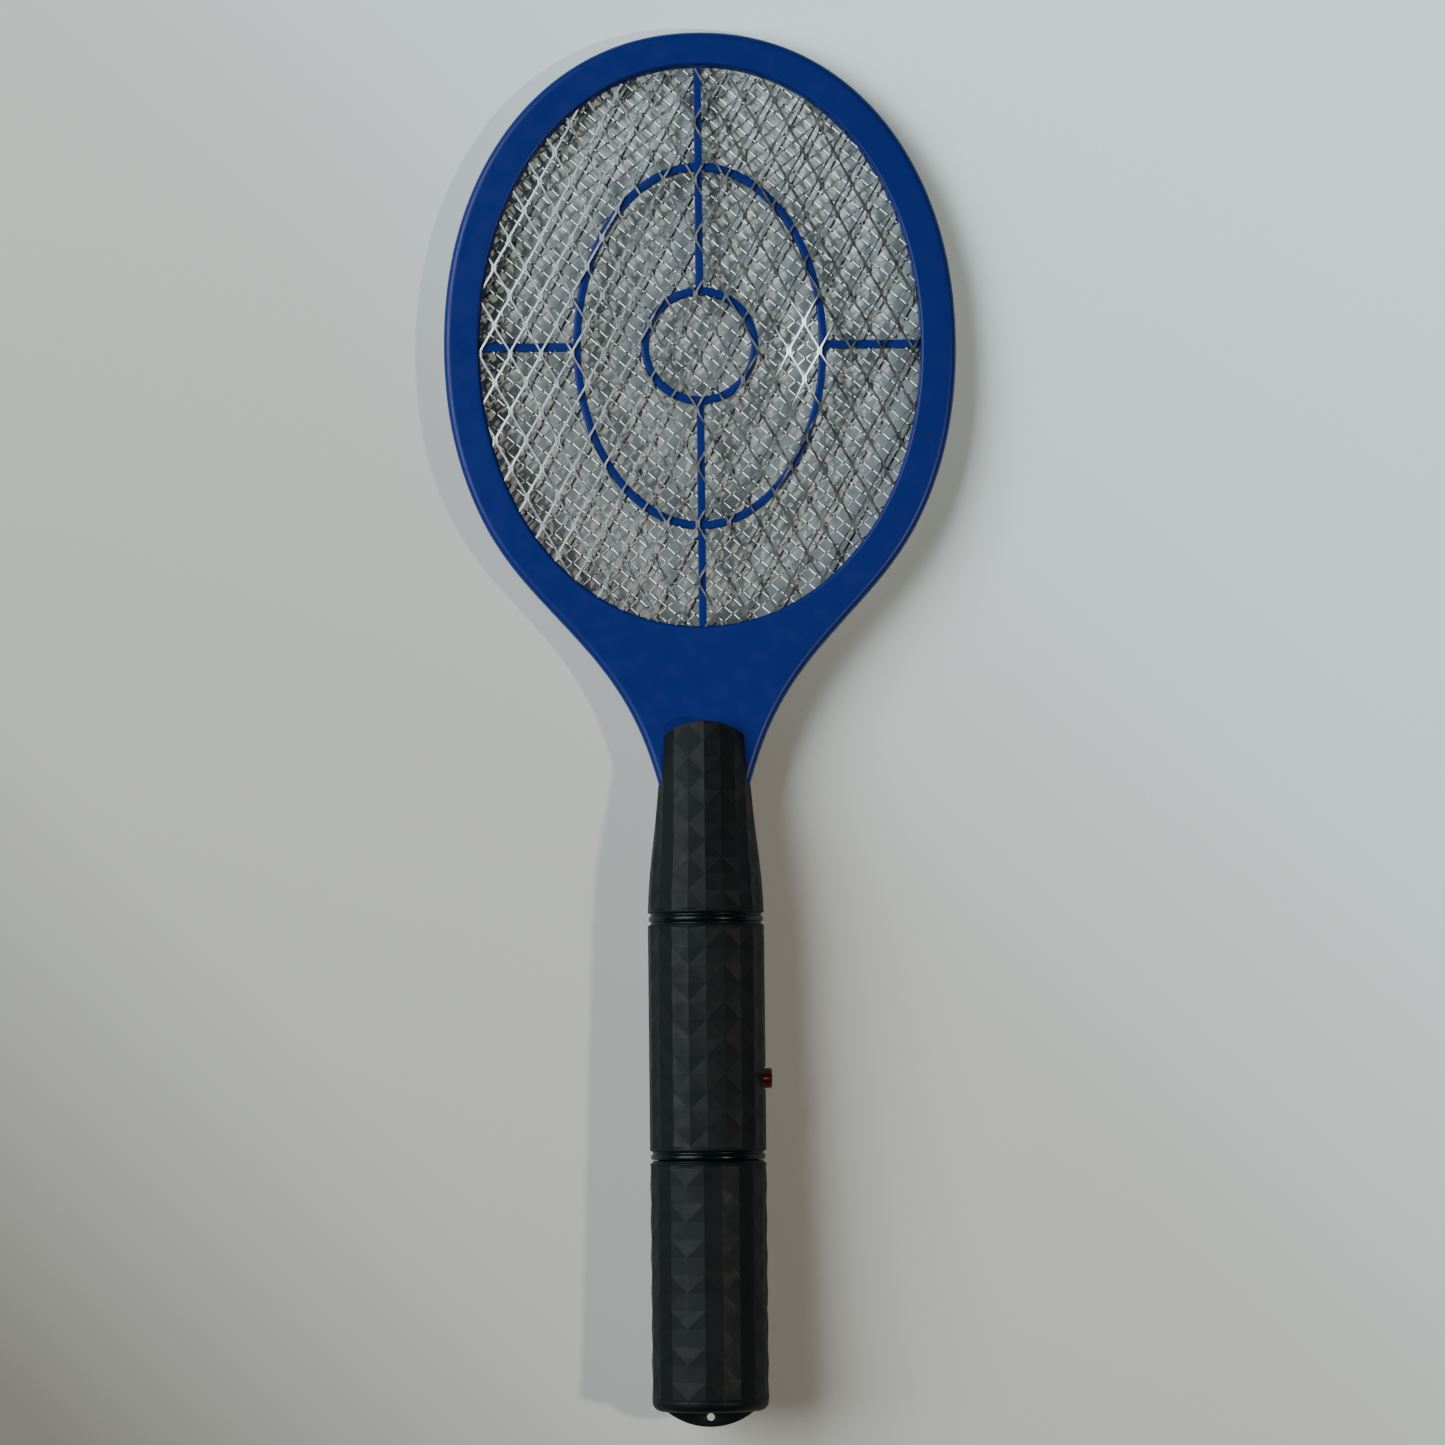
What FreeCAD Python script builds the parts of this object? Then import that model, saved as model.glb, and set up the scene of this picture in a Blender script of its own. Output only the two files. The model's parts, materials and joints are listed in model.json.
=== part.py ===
"""Battery-powered electric fly swatter of the racket type.

Millimetres. +X runs across the head, +Y from the handle towards the head, +Z out of the front face.
The origin is under the middle of the outline, on the surface that the handle lies on.
Heights named "above the mid-plane" are measured from the plane where the two halves of the object meet.
"""

import FreeCAD, Part
import math
import os

# Overall size
OVERALL_LENGTH = 445.0
HANDLE_RADIUS = 18.5
MID = HANDLE_RADIUS  # height of the handle's axis and of the head's mid-plane
TOP_Y = OVERALL_LENGTH / 2
END_Y = -OVERALL_LENGTH / 2

# Head: superellipses about one centre
HEAD_CENTRE_Y = 121.9
HEAD_HALF_WIDTH = 81.8
HEAD_HALF_LENGTH = TOP_Y - HEAD_CENTRE_Y
HEAD_POWER = 2.12
OPENING_HALF_WIDTH = 70.7
OPENING_HALF_LENGTH = 90.1
OPENING_POWER = 2.07
HEAD_HALF_THICKNESS = 4.5
HEAD_JOIN_ANGLE = 47.0  # degrees below the widest line where the oval runs into the neck
OVAL_STATIONS = 30
EDGE_RADIUS = 2.2
LIP_THICKNESS = 1.6
POCKET_MARGIN = 5.0

# Neck: half widths down to the handle, then a straight tang inside it
NECK_OUTLINE = [
    (48.3, 37.2),
    (39.6, 27.6),
    (31.7, 18.0),
    (25.4, 8.5),
    (20.5, -1.1),
    (16.9, -10.7),
    (14.5, -18.5),
]
SHOULDER_Y = NECK_OUTLINE[-1][1]
TANG_HALF_WIDTH = 11.0
TANG_END_Y = -62.0
STRIP_CHANNEL_WIDTH = 4.0
CENTRE_CHANNEL_X = -5.0
CENTRE_CHANNEL_DEPTH = 1.0
OUTER_CHANNEL_X = 6.5
STRIP_THICKNESS = 0.3
STRIP_PLAY = 0.5
STRIP_TAIL = 3.0  # how far the strips stand out of the tang
TANG_HOLE_RADIUS = 2.3

# Mesh stack, heights above the mid-plane
MESH_THICKNESS = 0.6
SPACER_THICKNESS = 2.0
OUTER_MESH_Z = MESH_THICKNESS / 2 + SPACER_THICKNESS  # underside of the front mesh
MESH_HALF_WIDTH = 72.2
MESH_HALF_LENGTH = 90.6
MESH_CENTRE_Y = HEAD_CENTRE_Y - 1.5
COARSE_PITCH_X = 9.9
COARSE_PITCH_Y = 18.4
COARSE_STRAND = 1.1
FINE_PITCH_X = 11.0
FINE_PITCH_Y = 9.2
FINE_STRAND = 1.3
MESH_MARGIN = 1.2

# Spacer grilles
RIM_OUTER_MARGIN = 4.7
RIM_INNER_MARGIN = -0.3
RIB_WIDTH = 2.5
OVAL_RING_HALF_WIDTH = 40.6
OVAL_RING_HALF_LENGTH = 58.8
SMALL_RING_RADIUS = 18.8

# Handle: outer radius along its length
HANDLE_TOP_Y = 1.4
HANDLE_TOP_ARC = 20.6
TAPER_OUTLINE = [(12.9, 1.4), (14.7, -18.7), (16.2, -33.7), (17.9, -49.0), (18.4, -57.5)]
RING_Y = [-61.3, -136.9]
GROOVE_WIDTH = 1.5
BEAD_WIDTH = 1.6
GROOVE_DEPTH = 0.9
BEAD_DROP = 0.5
WALL = 2.2
END_WALL = 2.7
NECK_GAP = 0.1

# Joint between the handle shells and the battery sleeve
SHELL_END_Y = RING_Y[1] - BEAD_WIDTH / 2
SLEEVE_TOP_Y = SHELL_END_Y - 0.3
SLEEVE_END_Y = -217.4
SLEEVE_CORNER = 3.0
SLEEVE_CHAMFER = 0.9
SPIGOT_RADIUS = 15.9
SPIGOT_BORE = 14.9
SPIGOT_END_Y = -151.0
SLEEVE_BORE = 16.2
CAVITY_END_Y = -132.2

# Hanging tab
TAB_RADIUS = 21.9
TAB_THICKNESS = 2.6
TAB_HOLE_Y = -219.4
TAB_HOLE_RADIUS = 1.25

# Push button, on the +X side
BUTTON_Y = -112.1
BUTTON_HALF_LENGTH = 3.2
BUTTON_HALF_HEIGHT = 5.75
BUTTON_FACE_X = HANDLE_RADIUS + 2.2
BUTTON_EDGE = 0.5
BUTTON_GAP = 0.33
FLANGE_X = (12.9, 14.3)
FLANGE_HALF_LENGTH = 4.4
FLANGE_HALF_HEIGHT = 7.0
SWITCH_X = (3.0, 10.0)
SWITCH_LENGTH = 8.0
SWITCH_TOP_Z = 4.0
PLUNGER_RADIUS = 1.5
PLUNGER_CLEARANCE = 0.1
PLUNGER_INNER_X = 7.5
PLUNGER_BORE_X = 5.5
SPRING_RADIUS = 2.5
SPRING_WIRE = 0.2
SPRING_TURNS = 3

# Screws
SCREW_Y = [-30.0, -51.0, -126.5]
SCREW_HEAD_RADIUS = 2.4
SCREW_HEAD_HEIGHT = 1.8
SCREW_HEAD_Z = -9.0
SCREW_SHANK_RADIUS = 1.25
SCREW_TIP_Z = 6.0
SCREW_CLEARANCE = 0.05
BOSS_RADIUS = 3.2
FRAME_SCREW_MARGIN = 6.9
FRAME_SCREW_ANGLES = [-45.0, -10.0, 28.0, 66.0, 114.0, 152.0, 190.0, 225.0]
FRAME_SCREW_HEAD_RADIUS = 1.9
FRAME_SCREW_HEAD_HEIGHT = 1.2
FRAME_SCREW_SHANK_RADIUS = 0.9
FRAME_SCREW_TIP_Z = 2.6
FRAME_SCREW_GAP = 0.1
FRAME_SCREW_END_GAP = 0.3
RECESS_DEPTH = 0.9
RECESS_REACH = 0.6  # half length of a recess arm, in head radii
RECESS_ARM = 0.15  # half width of a recess arm, in head radii

# Circuit board and its supports, heights above the mid-plane
BOARD_TOP_Z = -4.4
BOARD_THICKNESS = 1.6
BOARD_Y = (-122.5, -68.0)
BOARD_HALF_WIDTH = 13.0
BOARD_NOTCH_X = 11.1  # leaves room for the pressed button's flange
BOARD_NOTCH_HALF_LENGTH = 5.2
RAIL_X = (9.2, 10.8)
LEAD_RADIUS = 0.3

# Parts on the circuit board: x and y ranges, and heights above the board
CORE_X = (-12.0, 4.0)
CORE_Y = (-94.5, -89.5)
CORE_HEIGHT = (0.6, 11.6)
CORE_BAR = 2.2
CORE_WINDOWS_X = [(-9.7, -6.0), (-2.0, 1.7)]
WINDING_X = (-9.6, 1.6)
WINDING_Y = (-98.0, -86.0)
WINDING_HEIGHT = (2.9, 9.3)
WINDING_CORNER = 1.2
WINDING_PLAY = 0.1
TRANSISTOR_PLACE = (-7.5, -105.0)
TRANSISTOR_RADIUS = 2.4
TRANSISTOR_FLAT = 1.4
TRANSISTOR_HEIGHT = (2.0, 6.6)
TRANSISTOR_LEG_PITCH = 1.27
TRANSISTOR_LEG_RADIUS = 0.25
STORAGE_X = (5.6, 11.4)
STORAGE_Y = (-99.5, -84.5)
STORAGE_HEIGHT = (0.3, 10.3)
STORAGE_CORNER = 1.0
STORAGE_LEG_Y = (-97.0, -87.0)
DISC_X = [-8.5, 0.0, 8.5]
DISC_Y = -74.0
DISC_RADIUS = 3.5
DISC_THICKNESS = 2.2
DISC_HEIGHT = 4.6
DISC_EDGE = 0.7
DISC_LEG_X = 2.2
DIODE_X = [-9.0, -3.0, 3.0, 9.0]
DIODE_Y = -80.2
DIODE_BODY = (1.2, 4.2)  # radius and length
DIODE_REACH = 3.8
RESISTOR_X = [-10.5, -6.5, -2.5]
RESISTOR_Y = -114.5
RESISTOR_BODY = (1.1, 6.2)
RESISTOR_REACH = 4.4
AXIAL_PART_LIFT = 0.2

# Two AA cells side by side
CELL_RADIUS = 7.2
CELL_X = 7.35
CELL_BODY = 49.5
CELL_NUB = 1.0
CELL_NUB_RADIUS = 2.7
CELL_EDGE = 0.6
TRAY_FLANGE_RADIUS = 16.0
TRAY_FLANGE_Y = (-132.1, -130.2)
TRAY_BARREL_RADIUS = 14.6
TRAY_BARREL_BORE = 13.2
TRAY_FACE_Y = -160.0
TRAY_WALL = 2.0
CRADLE_HALF_WIDTH = 12.2
CRADLE_Z = (-8.9, -7.4)
CRADLE_END_Y = -211.0
CONTACT_THICKNESS = 0.4
RIVET_RADIUS = 1.0
RIVET_STUD = 0.8
CONTACT_HALF_WIDTH = 4.0
COIL_RADIUS = 3.0
COIL_WIRE = 0.35
COIL_TURNS = 3
CONTACT_SPRING_LENGTH = 3.8
BRIDGE_Y = TRAY_FACE_Y - CONTACT_SPRING_LENGTH - CELL_BODY - CELL_NUB
WIRE_RADIUS = 0.65
LEAD_INSET = 2.0
STRIP_END_GAP = 0.8
BATTERY_LEAD_STRAIGHT = 14.0  # from the rivet along the handle
BATTERY_LEAD_HEIGHTS = (2.0, 1.5)  # beside the screw boss and over the board
BATTERY_LEAD_DRAW_IN = (0.9, 0.75)  # distance from the axis, as a share of the rivet's

V = FreeCAD.Vector


# ---------------------------------------------------------------- helpers


def at(x, y, z):
    """A point whose height is given above the mid-plane."""
    return V(x, y, MID + z)


def box(x, y, z):
    """A block between the pairs x, y and z, with z above the mid-plane."""
    size = (x[1] - x[0], y[1] - y[0], z[1] - z[0])
    return Part.makeBox(*size, at(x[0], y[0], z[0]))


def rod(start, end, radius):
    """A round bar between two points."""
    axis = end - start
    return Part.makeCylinder(radius, axis.Length, start, axis)


def superellipse_point(half_width, half_length, power, degrees, centre_y=HEAD_CENTRE_Y):
    """A point of the oval |x/a|^p + |y/b|^p = 1, at the mid-plane."""
    cosine = math.cos(math.radians(degrees))
    sine = math.sin(math.radians(degrees))
    x = half_width * math.copysign(abs(cosine) ** (2 / power), cosine)
    y = half_length * math.copysign(abs(sine) ** (2 / power), sine)
    return V(x, centre_y + y, MID)


def oval_wire(half_width, half_length, power, centre_y=HEAD_CENTRE_Y):
    """A closed smooth oval at the mid-plane."""
    step = 360.0 / OVAL_STATIONS
    angles = [step * (i + 0.5) for i in range(OVAL_STATIONS)]
    points = [superellipse_point(half_width, half_length, power, a, centre_y) for a in angles]
    curve = Part.BSplineCurve()
    curve.interpolate(Points=points, PeriodicFlag=True)
    return Part.Wire([curve.toShape()])


def opening_wire(margin=0.0):
    """The head's opening, grown by a margin."""
    return oval_wire(OPENING_HALF_WIDTH + margin, OPENING_HALF_LENGTH + margin, OPENING_POWER)


def slab(wires, z):
    """A flat plate bounded by wires, the first outside and the others its holes."""
    plate = Part.makeFace(wires, "Part::FaceMakerBullseye").extrude(V(0, 0, z[1] - z[0]))
    plate.translate(V(0, 0, z[0]))
    return plate


def turned(points):
    """A solid of revolution about the handle's axis from (radius, y) corners."""
    corners = [V(radius, y, MID) for radius, y in points]
    outline = Part.makePolygon(corners + corners[:1])
    return Part.Face(outline).revolve(V(0, 0, MID), V(0, 1, 0), 360)


def mirrored_z(shape):
    """The same piece on the other side of the mid-plane."""
    return shape.mirror(V(0, 0, MID), V(0, 0, 1))


def helix_spring(base, axis, radius, wire_radius, length, turns):
    """A coil spring that starts at base and runs along axis."""
    rise = length - 2 * wire_radius
    path = Part.makeHelix(rise / turns, rise, radius)
    section = Part.Wire([Part.makeCircle(wire_radius, V(radius, 0, 0), V(0, 1, 0))])
    coil = Part.Wire(path.Edges).makePipeShell([section], True, True)
    coil.translate(V(0, 0, wire_radius))
    coil.Placement = FreeCAD.Placement(base, FreeCAD.Rotation(V(0, 0, 1), axis)).multiply(coil.Placement)
    return coil


def insulated_wire(points, radius):
    """A round wire through points, as straight runs joined by tangent arcs."""
    edges = []
    start = points[0]
    for before, corner, after in zip(points, points[1:], points[2:]):
        inward = (corner - before).normalize()
        outward = (after - corner).normalize()
        turn = inward.getAngle(outward)
        reach = 0.45 * min((corner - before).Length, (after - corner).Length)
        arc_start = corner - inward * reach
        arc_end = corner + outward * reach
        towards_centre = (outward - inward).normalize()
        bend = reach / math.tan(turn / 2)
        centre = corner + towards_centre * (bend / math.cos(turn / 2))
        middle = centre - towards_centre * bend
        edges.append(Part.makeLine(start, arc_start))
        edges.append(Part.Arc(arc_start, middle, arc_end).toShape())
        start = arc_end
    edges.append(Part.makeLine(start, points[-1]))
    section = Part.Wire([Part.makeCircle(radius, points[0], points[1] - points[0])])
    return Part.Wire(edges).makePipeShell([section], True, True)


# ---------------------------------------------------------------- head


def head_outline():
    """The closed outline of a frame half: oval head, neck and tang."""
    stations = 27
    sweep = 180 + 2 * HEAD_JOIN_ANGLE
    angles = [-HEAD_JOIN_ANGLE + sweep * i / (stations - 1) for i in range(stations)]
    oval = [superellipse_point(HEAD_HALF_WIDTH, HEAD_HALF_LENGTH, HEAD_POWER, a) for a in angles]
    right = [V(x, y, MID) for x, y in reversed(NECK_OUTLINE)]
    left = [V(-x, y, MID) for x, y in NECK_OUTLINE]
    curve = Part.BSplineCurve()
    curve.interpolate(right + oval + left)
    tang = [
        left[-1],
        V(-TANG_HALF_WIDTH, SHOULDER_Y, MID),
        V(-TANG_HALF_WIDTH, TANG_END_Y, MID),
        V(TANG_HALF_WIDTH, TANG_END_Y, MID),
        V(TANG_HALF_WIDTH, SHOULDER_Y, MID),
        right[0],
    ]
    return Part.Wire([curve.toShape()] + Part.makePolygon(tang).Edges)


def frame_screw_places():
    """Where the frame screws stand, on an oval in the middle of the band."""
    half_width = OPENING_HALF_WIDTH + FRAME_SCREW_MARGIN
    half_length = OPENING_HALF_LENGTH + FRAME_SCREW_MARGIN
    return [superellipse_point(half_width, half_length, OPENING_POWER, a) for a in FRAME_SCREW_ANGLES]


def frame_half():
    """One half of the frame, above the mid-plane, before its screw holes."""
    blank = slab([head_outline()], (0, HEAD_HALF_THICKNESS))
    rim = [e for e in blank.Edges if e.BoundBox.ZMin > MID + HEAD_HALF_THICKNESS - 0.01]
    blank = blank.makeFillet(EDGE_RADIUS, rim)
    blank = blank.cut(slab([opening_wire()], (0, HEAD_HALF_THICKNESS)))
    pocket_depth = HEAD_HALF_THICKNESS - LIP_THICKNESS
    blank = blank.cut(slab([opening_wire(POCKET_MARGIN)], (0, pocket_depth)))
    pocket_end_y = HEAD_CENTRE_Y - OPENING_HALF_LENGTH - POCKET_MARGIN
    channel_y = (TANG_END_Y, pocket_end_y + 1)
    for x, depth in ((CENTRE_CHANNEL_X, CENTRE_CHANNEL_DEPTH), (OUTER_CHANNEL_X, pocket_depth)):
        half = STRIP_CHANNEL_WIDTH / 2
        blank = blank.cut(box((x - half, x + half), channel_y, (0, depth)))
    for y in SCREW_Y[:2]:
        blank = blank.cut(rod(at(0, y, 0), at(0, y, HEAD_HALF_THICKNESS), TANG_HOLE_RADIUS))
    return blank


def front_frame():
    frame = frame_half()
    for place in frame_screw_places():
        top = place + V(0, 0, FRAME_SCREW_TIP_Z + FRAME_SCREW_END_GAP)
        frame = frame.cut(rod(place, top, FRAME_SCREW_SHANK_RADIUS + FRAME_SCREW_GAP))
    return frame


def rear_frame():
    frame = mirrored_z(frame_half())
    for place in frame_screw_places():
        back = place - V(0, 0, HEAD_HALF_THICKNESS)
        seat = back + V(0, 0, FRAME_SCREW_HEAD_HEIGHT)
        frame = frame.cut(rod(back, place, FRAME_SCREW_SHANK_RADIUS + FRAME_SCREW_GAP))
        frame = frame.cut(rod(back, seat, FRAME_SCREW_HEAD_RADIUS + FRAME_SCREW_GAP))
    return frame


def cross_recess(top, radius):
    """The cross-shaped driver recess of a rear-facing screw head."""
    slots = []
    for half_x, half_y in ((RECESS_REACH, RECESS_ARM), (RECESS_ARM, RECESS_REACH)):
        corner = V(top.x - half_x * radius, top.y - half_y * radius, top.z)
        slots.append(Part.makeBox(2 * half_x * radius, 2 * half_y * radius, RECESS_DEPTH, corner))
    return slots[0].fuse(slots[1])


def frame_screws():
    screws = []
    for place in frame_screw_places():
        back = place - V(0, 0, HEAD_HALF_THICKNESS)
        seat = back + V(0, 0, FRAME_SCREW_HEAD_HEIGHT)
        screw = rod(back, seat, FRAME_SCREW_HEAD_RADIUS)
        screw = screw.fuse(rod(seat, place + V(0, 0, FRAME_SCREW_TIP_Z), FRAME_SCREW_SHANK_RADIUS))
        screws.append(screw.cut(cross_recess(back, FRAME_SCREW_HEAD_RADIUS)))
    return Part.makeCompound(screws)


def spacer_grille():
    """Rim, long oval ring, small ring and four spokes, in front of the centre mesh."""
    z = (MESH_THICKNESS / 2, OUTER_MESH_Z)
    rim = slab([opening_wire(RIM_OUTER_MARGIN), opening_wire(RIM_INNER_MARGIN)], z)
    ring_inner = (OVAL_RING_HALF_WIDTH - RIB_WIDTH, OVAL_RING_HALF_LENGTH - RIB_WIDTH)
    ring = slab([oval_wire(OVAL_RING_HALF_WIDTH, OVAL_RING_HALF_LENGTH, 2), oval_wire(*ring_inner, 2)], z)
    low = at(0, HEAD_CENTRE_Y, z[0])
    small_ring = Part.makeCylinder(SMALL_RING_RADIUS, SPACER_THICKNESS, low)
    small_ring = small_ring.cut(Part.makeCylinder(SMALL_RING_RADIUS - RIB_WIDTH, SPACER_THICKNESS, low))
    half = RIB_WIDTH / 2
    reach_y = OPENING_HALF_LENGTH + 1
    reach_x = OPENING_HALF_WIDTH + 1
    inner_y = SMALL_RING_RADIUS - half
    inner_x = OVAL_RING_HALF_WIDTH - half
    spokes = []
    for side in (1, -1):
        y = sorted((HEAD_CENTRE_Y + side * inner_y, HEAD_CENTRE_Y + side * reach_y))
        x = sorted((side * inner_x, side * reach_x))
        spokes.append(box((-half, half), y, z))
        spokes.append(box(x, (HEAD_CENTRE_Y - half, HEAD_CENTRE_Y + half), z))
    return rim.multiFuse([ring, small_ring] + spokes).removeSplitter()


def diamond(x, y, half_width, half_length):
    """A diamond-shaped wire at the mid-plane."""
    corners = [
        V(x + half_width, y, MID),
        V(x, y + half_length, MID),
        V(x - half_width, y, MID),
        V(x, y - half_length, MID),
    ]
    return Part.makePolygon(corners + corners[:1])


def inside_mesh(x, y, half_width, half_length):
    """Whether a diamond keeps a margin from the mesh's cut edge."""
    room_x = MESH_HALF_WIDTH - MESH_MARGIN
    room_y = MESH_HALF_LENGTH - MESH_MARGIN
    tips = [(x + half_width, y), (x - half_width, y), (x, y + half_length), (x, y - half_length)]
    return all((px / room_x) ** 2 + ((py - MESH_CENTRE_Y) / room_y) ** 2 < 1 for px, py in tips)


def mesh(pitch_x, pitch_y, strand, z):
    """A plate of staggered diamond openings, cut to the head's oval."""
    half_width = (pitch_x - strand) / 2
    half_length = half_width * pitch_y / pitch_x
    outline = oval_wire(MESH_HALF_WIDTH, MESH_HALF_LENGTH, OPENING_POWER, MESH_CENTRE_Y)
    holes = []
    rows = int(2 * MESH_HALF_LENGTH / pitch_y) + 1
    columns = int(MESH_HALF_WIDTH / pitch_x) + 1
    for row in range(-rows, rows + 1):
        stagger = (row % 2) * pitch_x / 2
        for column in range(-columns - 1, columns + 1):
            x = column * pitch_x + stagger
            y = MESH_CENTRE_Y + row * pitch_y / 2
            if inside_mesh(x, y, half_width, half_length):
                holes.append(diamond(x, y, half_width, half_length))
    return slab([outline] + holes, z)


def terminal_strip(x, y_top, z):
    """A thin metal strip that leads from a mesh to the end of the tang."""
    half = STRIP_CHANNEL_WIDTH / 2 - STRIP_PLAY
    return box((x - half, x + half), (TANG_END_Y - STRIP_TAIL, y_top), z)


def centre_terminal_strip():
    top = MESH_THICKNESS / 2
    mesh_edge_y = MESH_CENTRE_Y - MESH_HALF_LENGTH
    return terminal_strip(CENTRE_CHANNEL_X, mesh_edge_y - STRIP_PLAY, (top - STRIP_THICKNESS, top))


def outer_terminal_strips():
    front = OUTER_MESH_Z + MESH_THICKNESS
    mesh_edge_y = MESH_CENTRE_Y - MESH_HALF_LENGTH
    strip = terminal_strip(OUTER_CHANNEL_X, mesh_edge_y - STRIP_PLAY, (front - STRIP_THICKNESS, front))
    return Part.makeCompound([strip, mirrored_z(strip)])


# ---------------------------------------------------------------- handle


def taper_radius_points():
    """The tapered top of the handle as (radius, y), from the neck down."""
    curve = Part.BSplineCurve()
    curve.interpolate([V(radius, y, 0) for radius, y in TAPER_OUTLINE])
    stations = 12
    span = curve.LastParameter - curve.FirstParameter
    points = [curve.value(curve.FirstParameter + span * i / stations) for i in range(stations + 1)]
    return [(p.x, p.y) for p in points]


def ring_points(y):
    """A turned ring: groove, bead, groove, as (radius, y) from its top edge down."""
    groove = HANDLE_RADIUS - GROOVE_DEPTH
    bead = HANDLE_RADIUS - BEAD_DROP
    half = BEAD_WIDTH / 2
    return [
        (HANDLE_RADIUS - 0.1, y + half + GROOVE_WIDTH),
        (groove, y + half + GROOVE_WIDTH / 2),
        (bead, y + half),
        (bead, y - half),
        (groove, y - half - GROOVE_WIDTH / 2),
        (HANDLE_RADIUS, y - half - GROOVE_WIDTH),
    ]


def handle_outside():
    """The two shells' outside as one solid, from the neck to the battery sleeve."""
    points = [(0, HANDLE_TOP_Y)] + taper_radius_points() + ring_points(RING_Y[0])
    points += ring_points(RING_Y[1])[:4]
    points += [(SPIGOT_RADIUS, SHELL_END_Y), (SPIGOT_RADIUS, SPIGOT_END_Y), (0, SPIGOT_END_Y)]
    solid = turned(points)
    end_arc = Part.makeCylinder(HANDLE_TOP_ARC, 2 * HANDLE_RADIUS, V(0, HANDLE_TOP_Y - HANDLE_TOP_ARC, 0))
    below = box((-30, 30), (END_Y, HANDLE_TOP_Y - HANDLE_TOP_ARC), (-MID, MID))
    return solid.common(end_arc.fuse(below))


def handle_inside():
    """The hollow inside the shells."""
    taper = [(radius - WALL, y) for radius, y in taper_radius_points() if y < HANDLE_TOP_Y - 4]
    cavity_radius = HANDLE_RADIUS - WALL
    points = [(0, taper[0][1])] + taper
    points += [(cavity_radius, RING_Y[0] - 4), (cavity_radius, CAVITY_END_Y)]
    points += [(SPIGOT_BORE, CAVITY_END_Y), (SPIGOT_BORE, SPIGOT_END_Y), (0, SPIGOT_END_Y)]
    return turned(points)


def button_prism(half_length, half_height, x):
    """An upright oval bar along X, for the button, its flange and its hole."""
    oval = Part.Ellipse(V(0, 0, 0), max(half_length, half_height), min(half_length, half_height)).toShape()
    face = Part.Face(Part.Wire([oval]))
    bar = face.extrude(V(0, 0, x[1] - x[0]))
    bar.rotate(V(0, 0, 0), V(0, 1, 0), 90)
    bar.translate(at(x[0], BUTTON_Y, 0))
    return bar


def neck_slot():
    """The space that the frame's neck takes through the handle's walls."""
    half = HEAD_HALF_THICKNESS
    return box((-40, 40), (SHOULDER_Y - NECK_GAP, HANDLE_TOP_Y + 1), (-half, half))


def handle_shell(side):
    """One half shell: side 1 is the front, -1 the rear."""
    cavity = handle_inside()
    shell = handle_outside().cut(cavity).cut(neck_slot())
    keep = (0, HANDLE_RADIUS + 1) if side > 0 else (-HANDLE_RADIUS - 1, 0)
    shell = shell.common(box((-30, 30), (SPIGOT_END_Y - 1, HANDLE_TOP_Y + 1), keep))
    for y in SCREW_Y:
        foot = HEAD_HALF_THICKNESS if y > TANG_END_Y else 0
        reach = (foot, HANDLE_RADIUS) if side > 0 else (-HANDLE_RADIUS, -foot)
        boss = rod(at(0, y, reach[0]), at(0, y, reach[1]), BOSS_RADIUS)
        shell = shell.fuse(boss.common(cavity))
    half_length = BUTTON_HALF_LENGTH + BUTTON_GAP
    half_height = BUTTON_HALF_HEIGHT + BUTTON_GAP
    hole = button_prism(half_length, half_height, (FLANGE_X[0] + 1, BUTTON_FACE_X + 1))
    return shell.cut(hole)


def handle_front_shell():
    shell = handle_shell(1)
    for y in SCREW_Y:
        pilot = rod(at(0, y, -1), at(0, y, SCREW_TIP_Z + 0.5), SCREW_SHANK_RADIUS + SCREW_CLEARANCE)
        shell = shell.cut(pilot)
    return shell


def handle_rear_shell():
    shell = handle_shell(-1)
    rail_y = (BOARD_Y[0], BOARD_Y[1])
    rail_top = BOARD_TOP_Z - BOARD_THICKNESS
    cavity = handle_inside()
    for side in (1, -1):
        x = sorted(side * edge for edge in RAIL_X)
        shell = shell.fuse(box(x, rail_y, (-HANDLE_RADIUS, rail_top)).common(cavity))
    for y in SCREW_Y:
        shell = shell.cut(rod(at(0, y, SCREW_HEAD_Z), at(0, y, 1), SCREW_SHANK_RADIUS + SCREW_CLEARANCE))
        seat_z = SCREW_HEAD_Z + SCREW_HEAD_HEIGHT
        shell = shell.cut(rod(at(0, y, -MID - 1), at(0, y, seat_z), SCREW_HEAD_RADIUS + SCREW_CLEARANCE))
    return shell.removeSplitter()


def handle_screws():
    screws = []
    for y in SCREW_Y:
        head_end = at(0, y, SCREW_HEAD_Z)
        seat = at(0, y, SCREW_HEAD_Z + SCREW_HEAD_HEIGHT)
        shank = rod(seat, at(0, y, SCREW_TIP_Z), SCREW_SHANK_RADIUS)
        screw = rod(head_end, seat, SCREW_HEAD_RADIUS).fuse(shank)
        screws.append(screw.cut(cross_recess(head_end, SCREW_HEAD_RADIUS)))
    return Part.makeCompound(screws)


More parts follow.
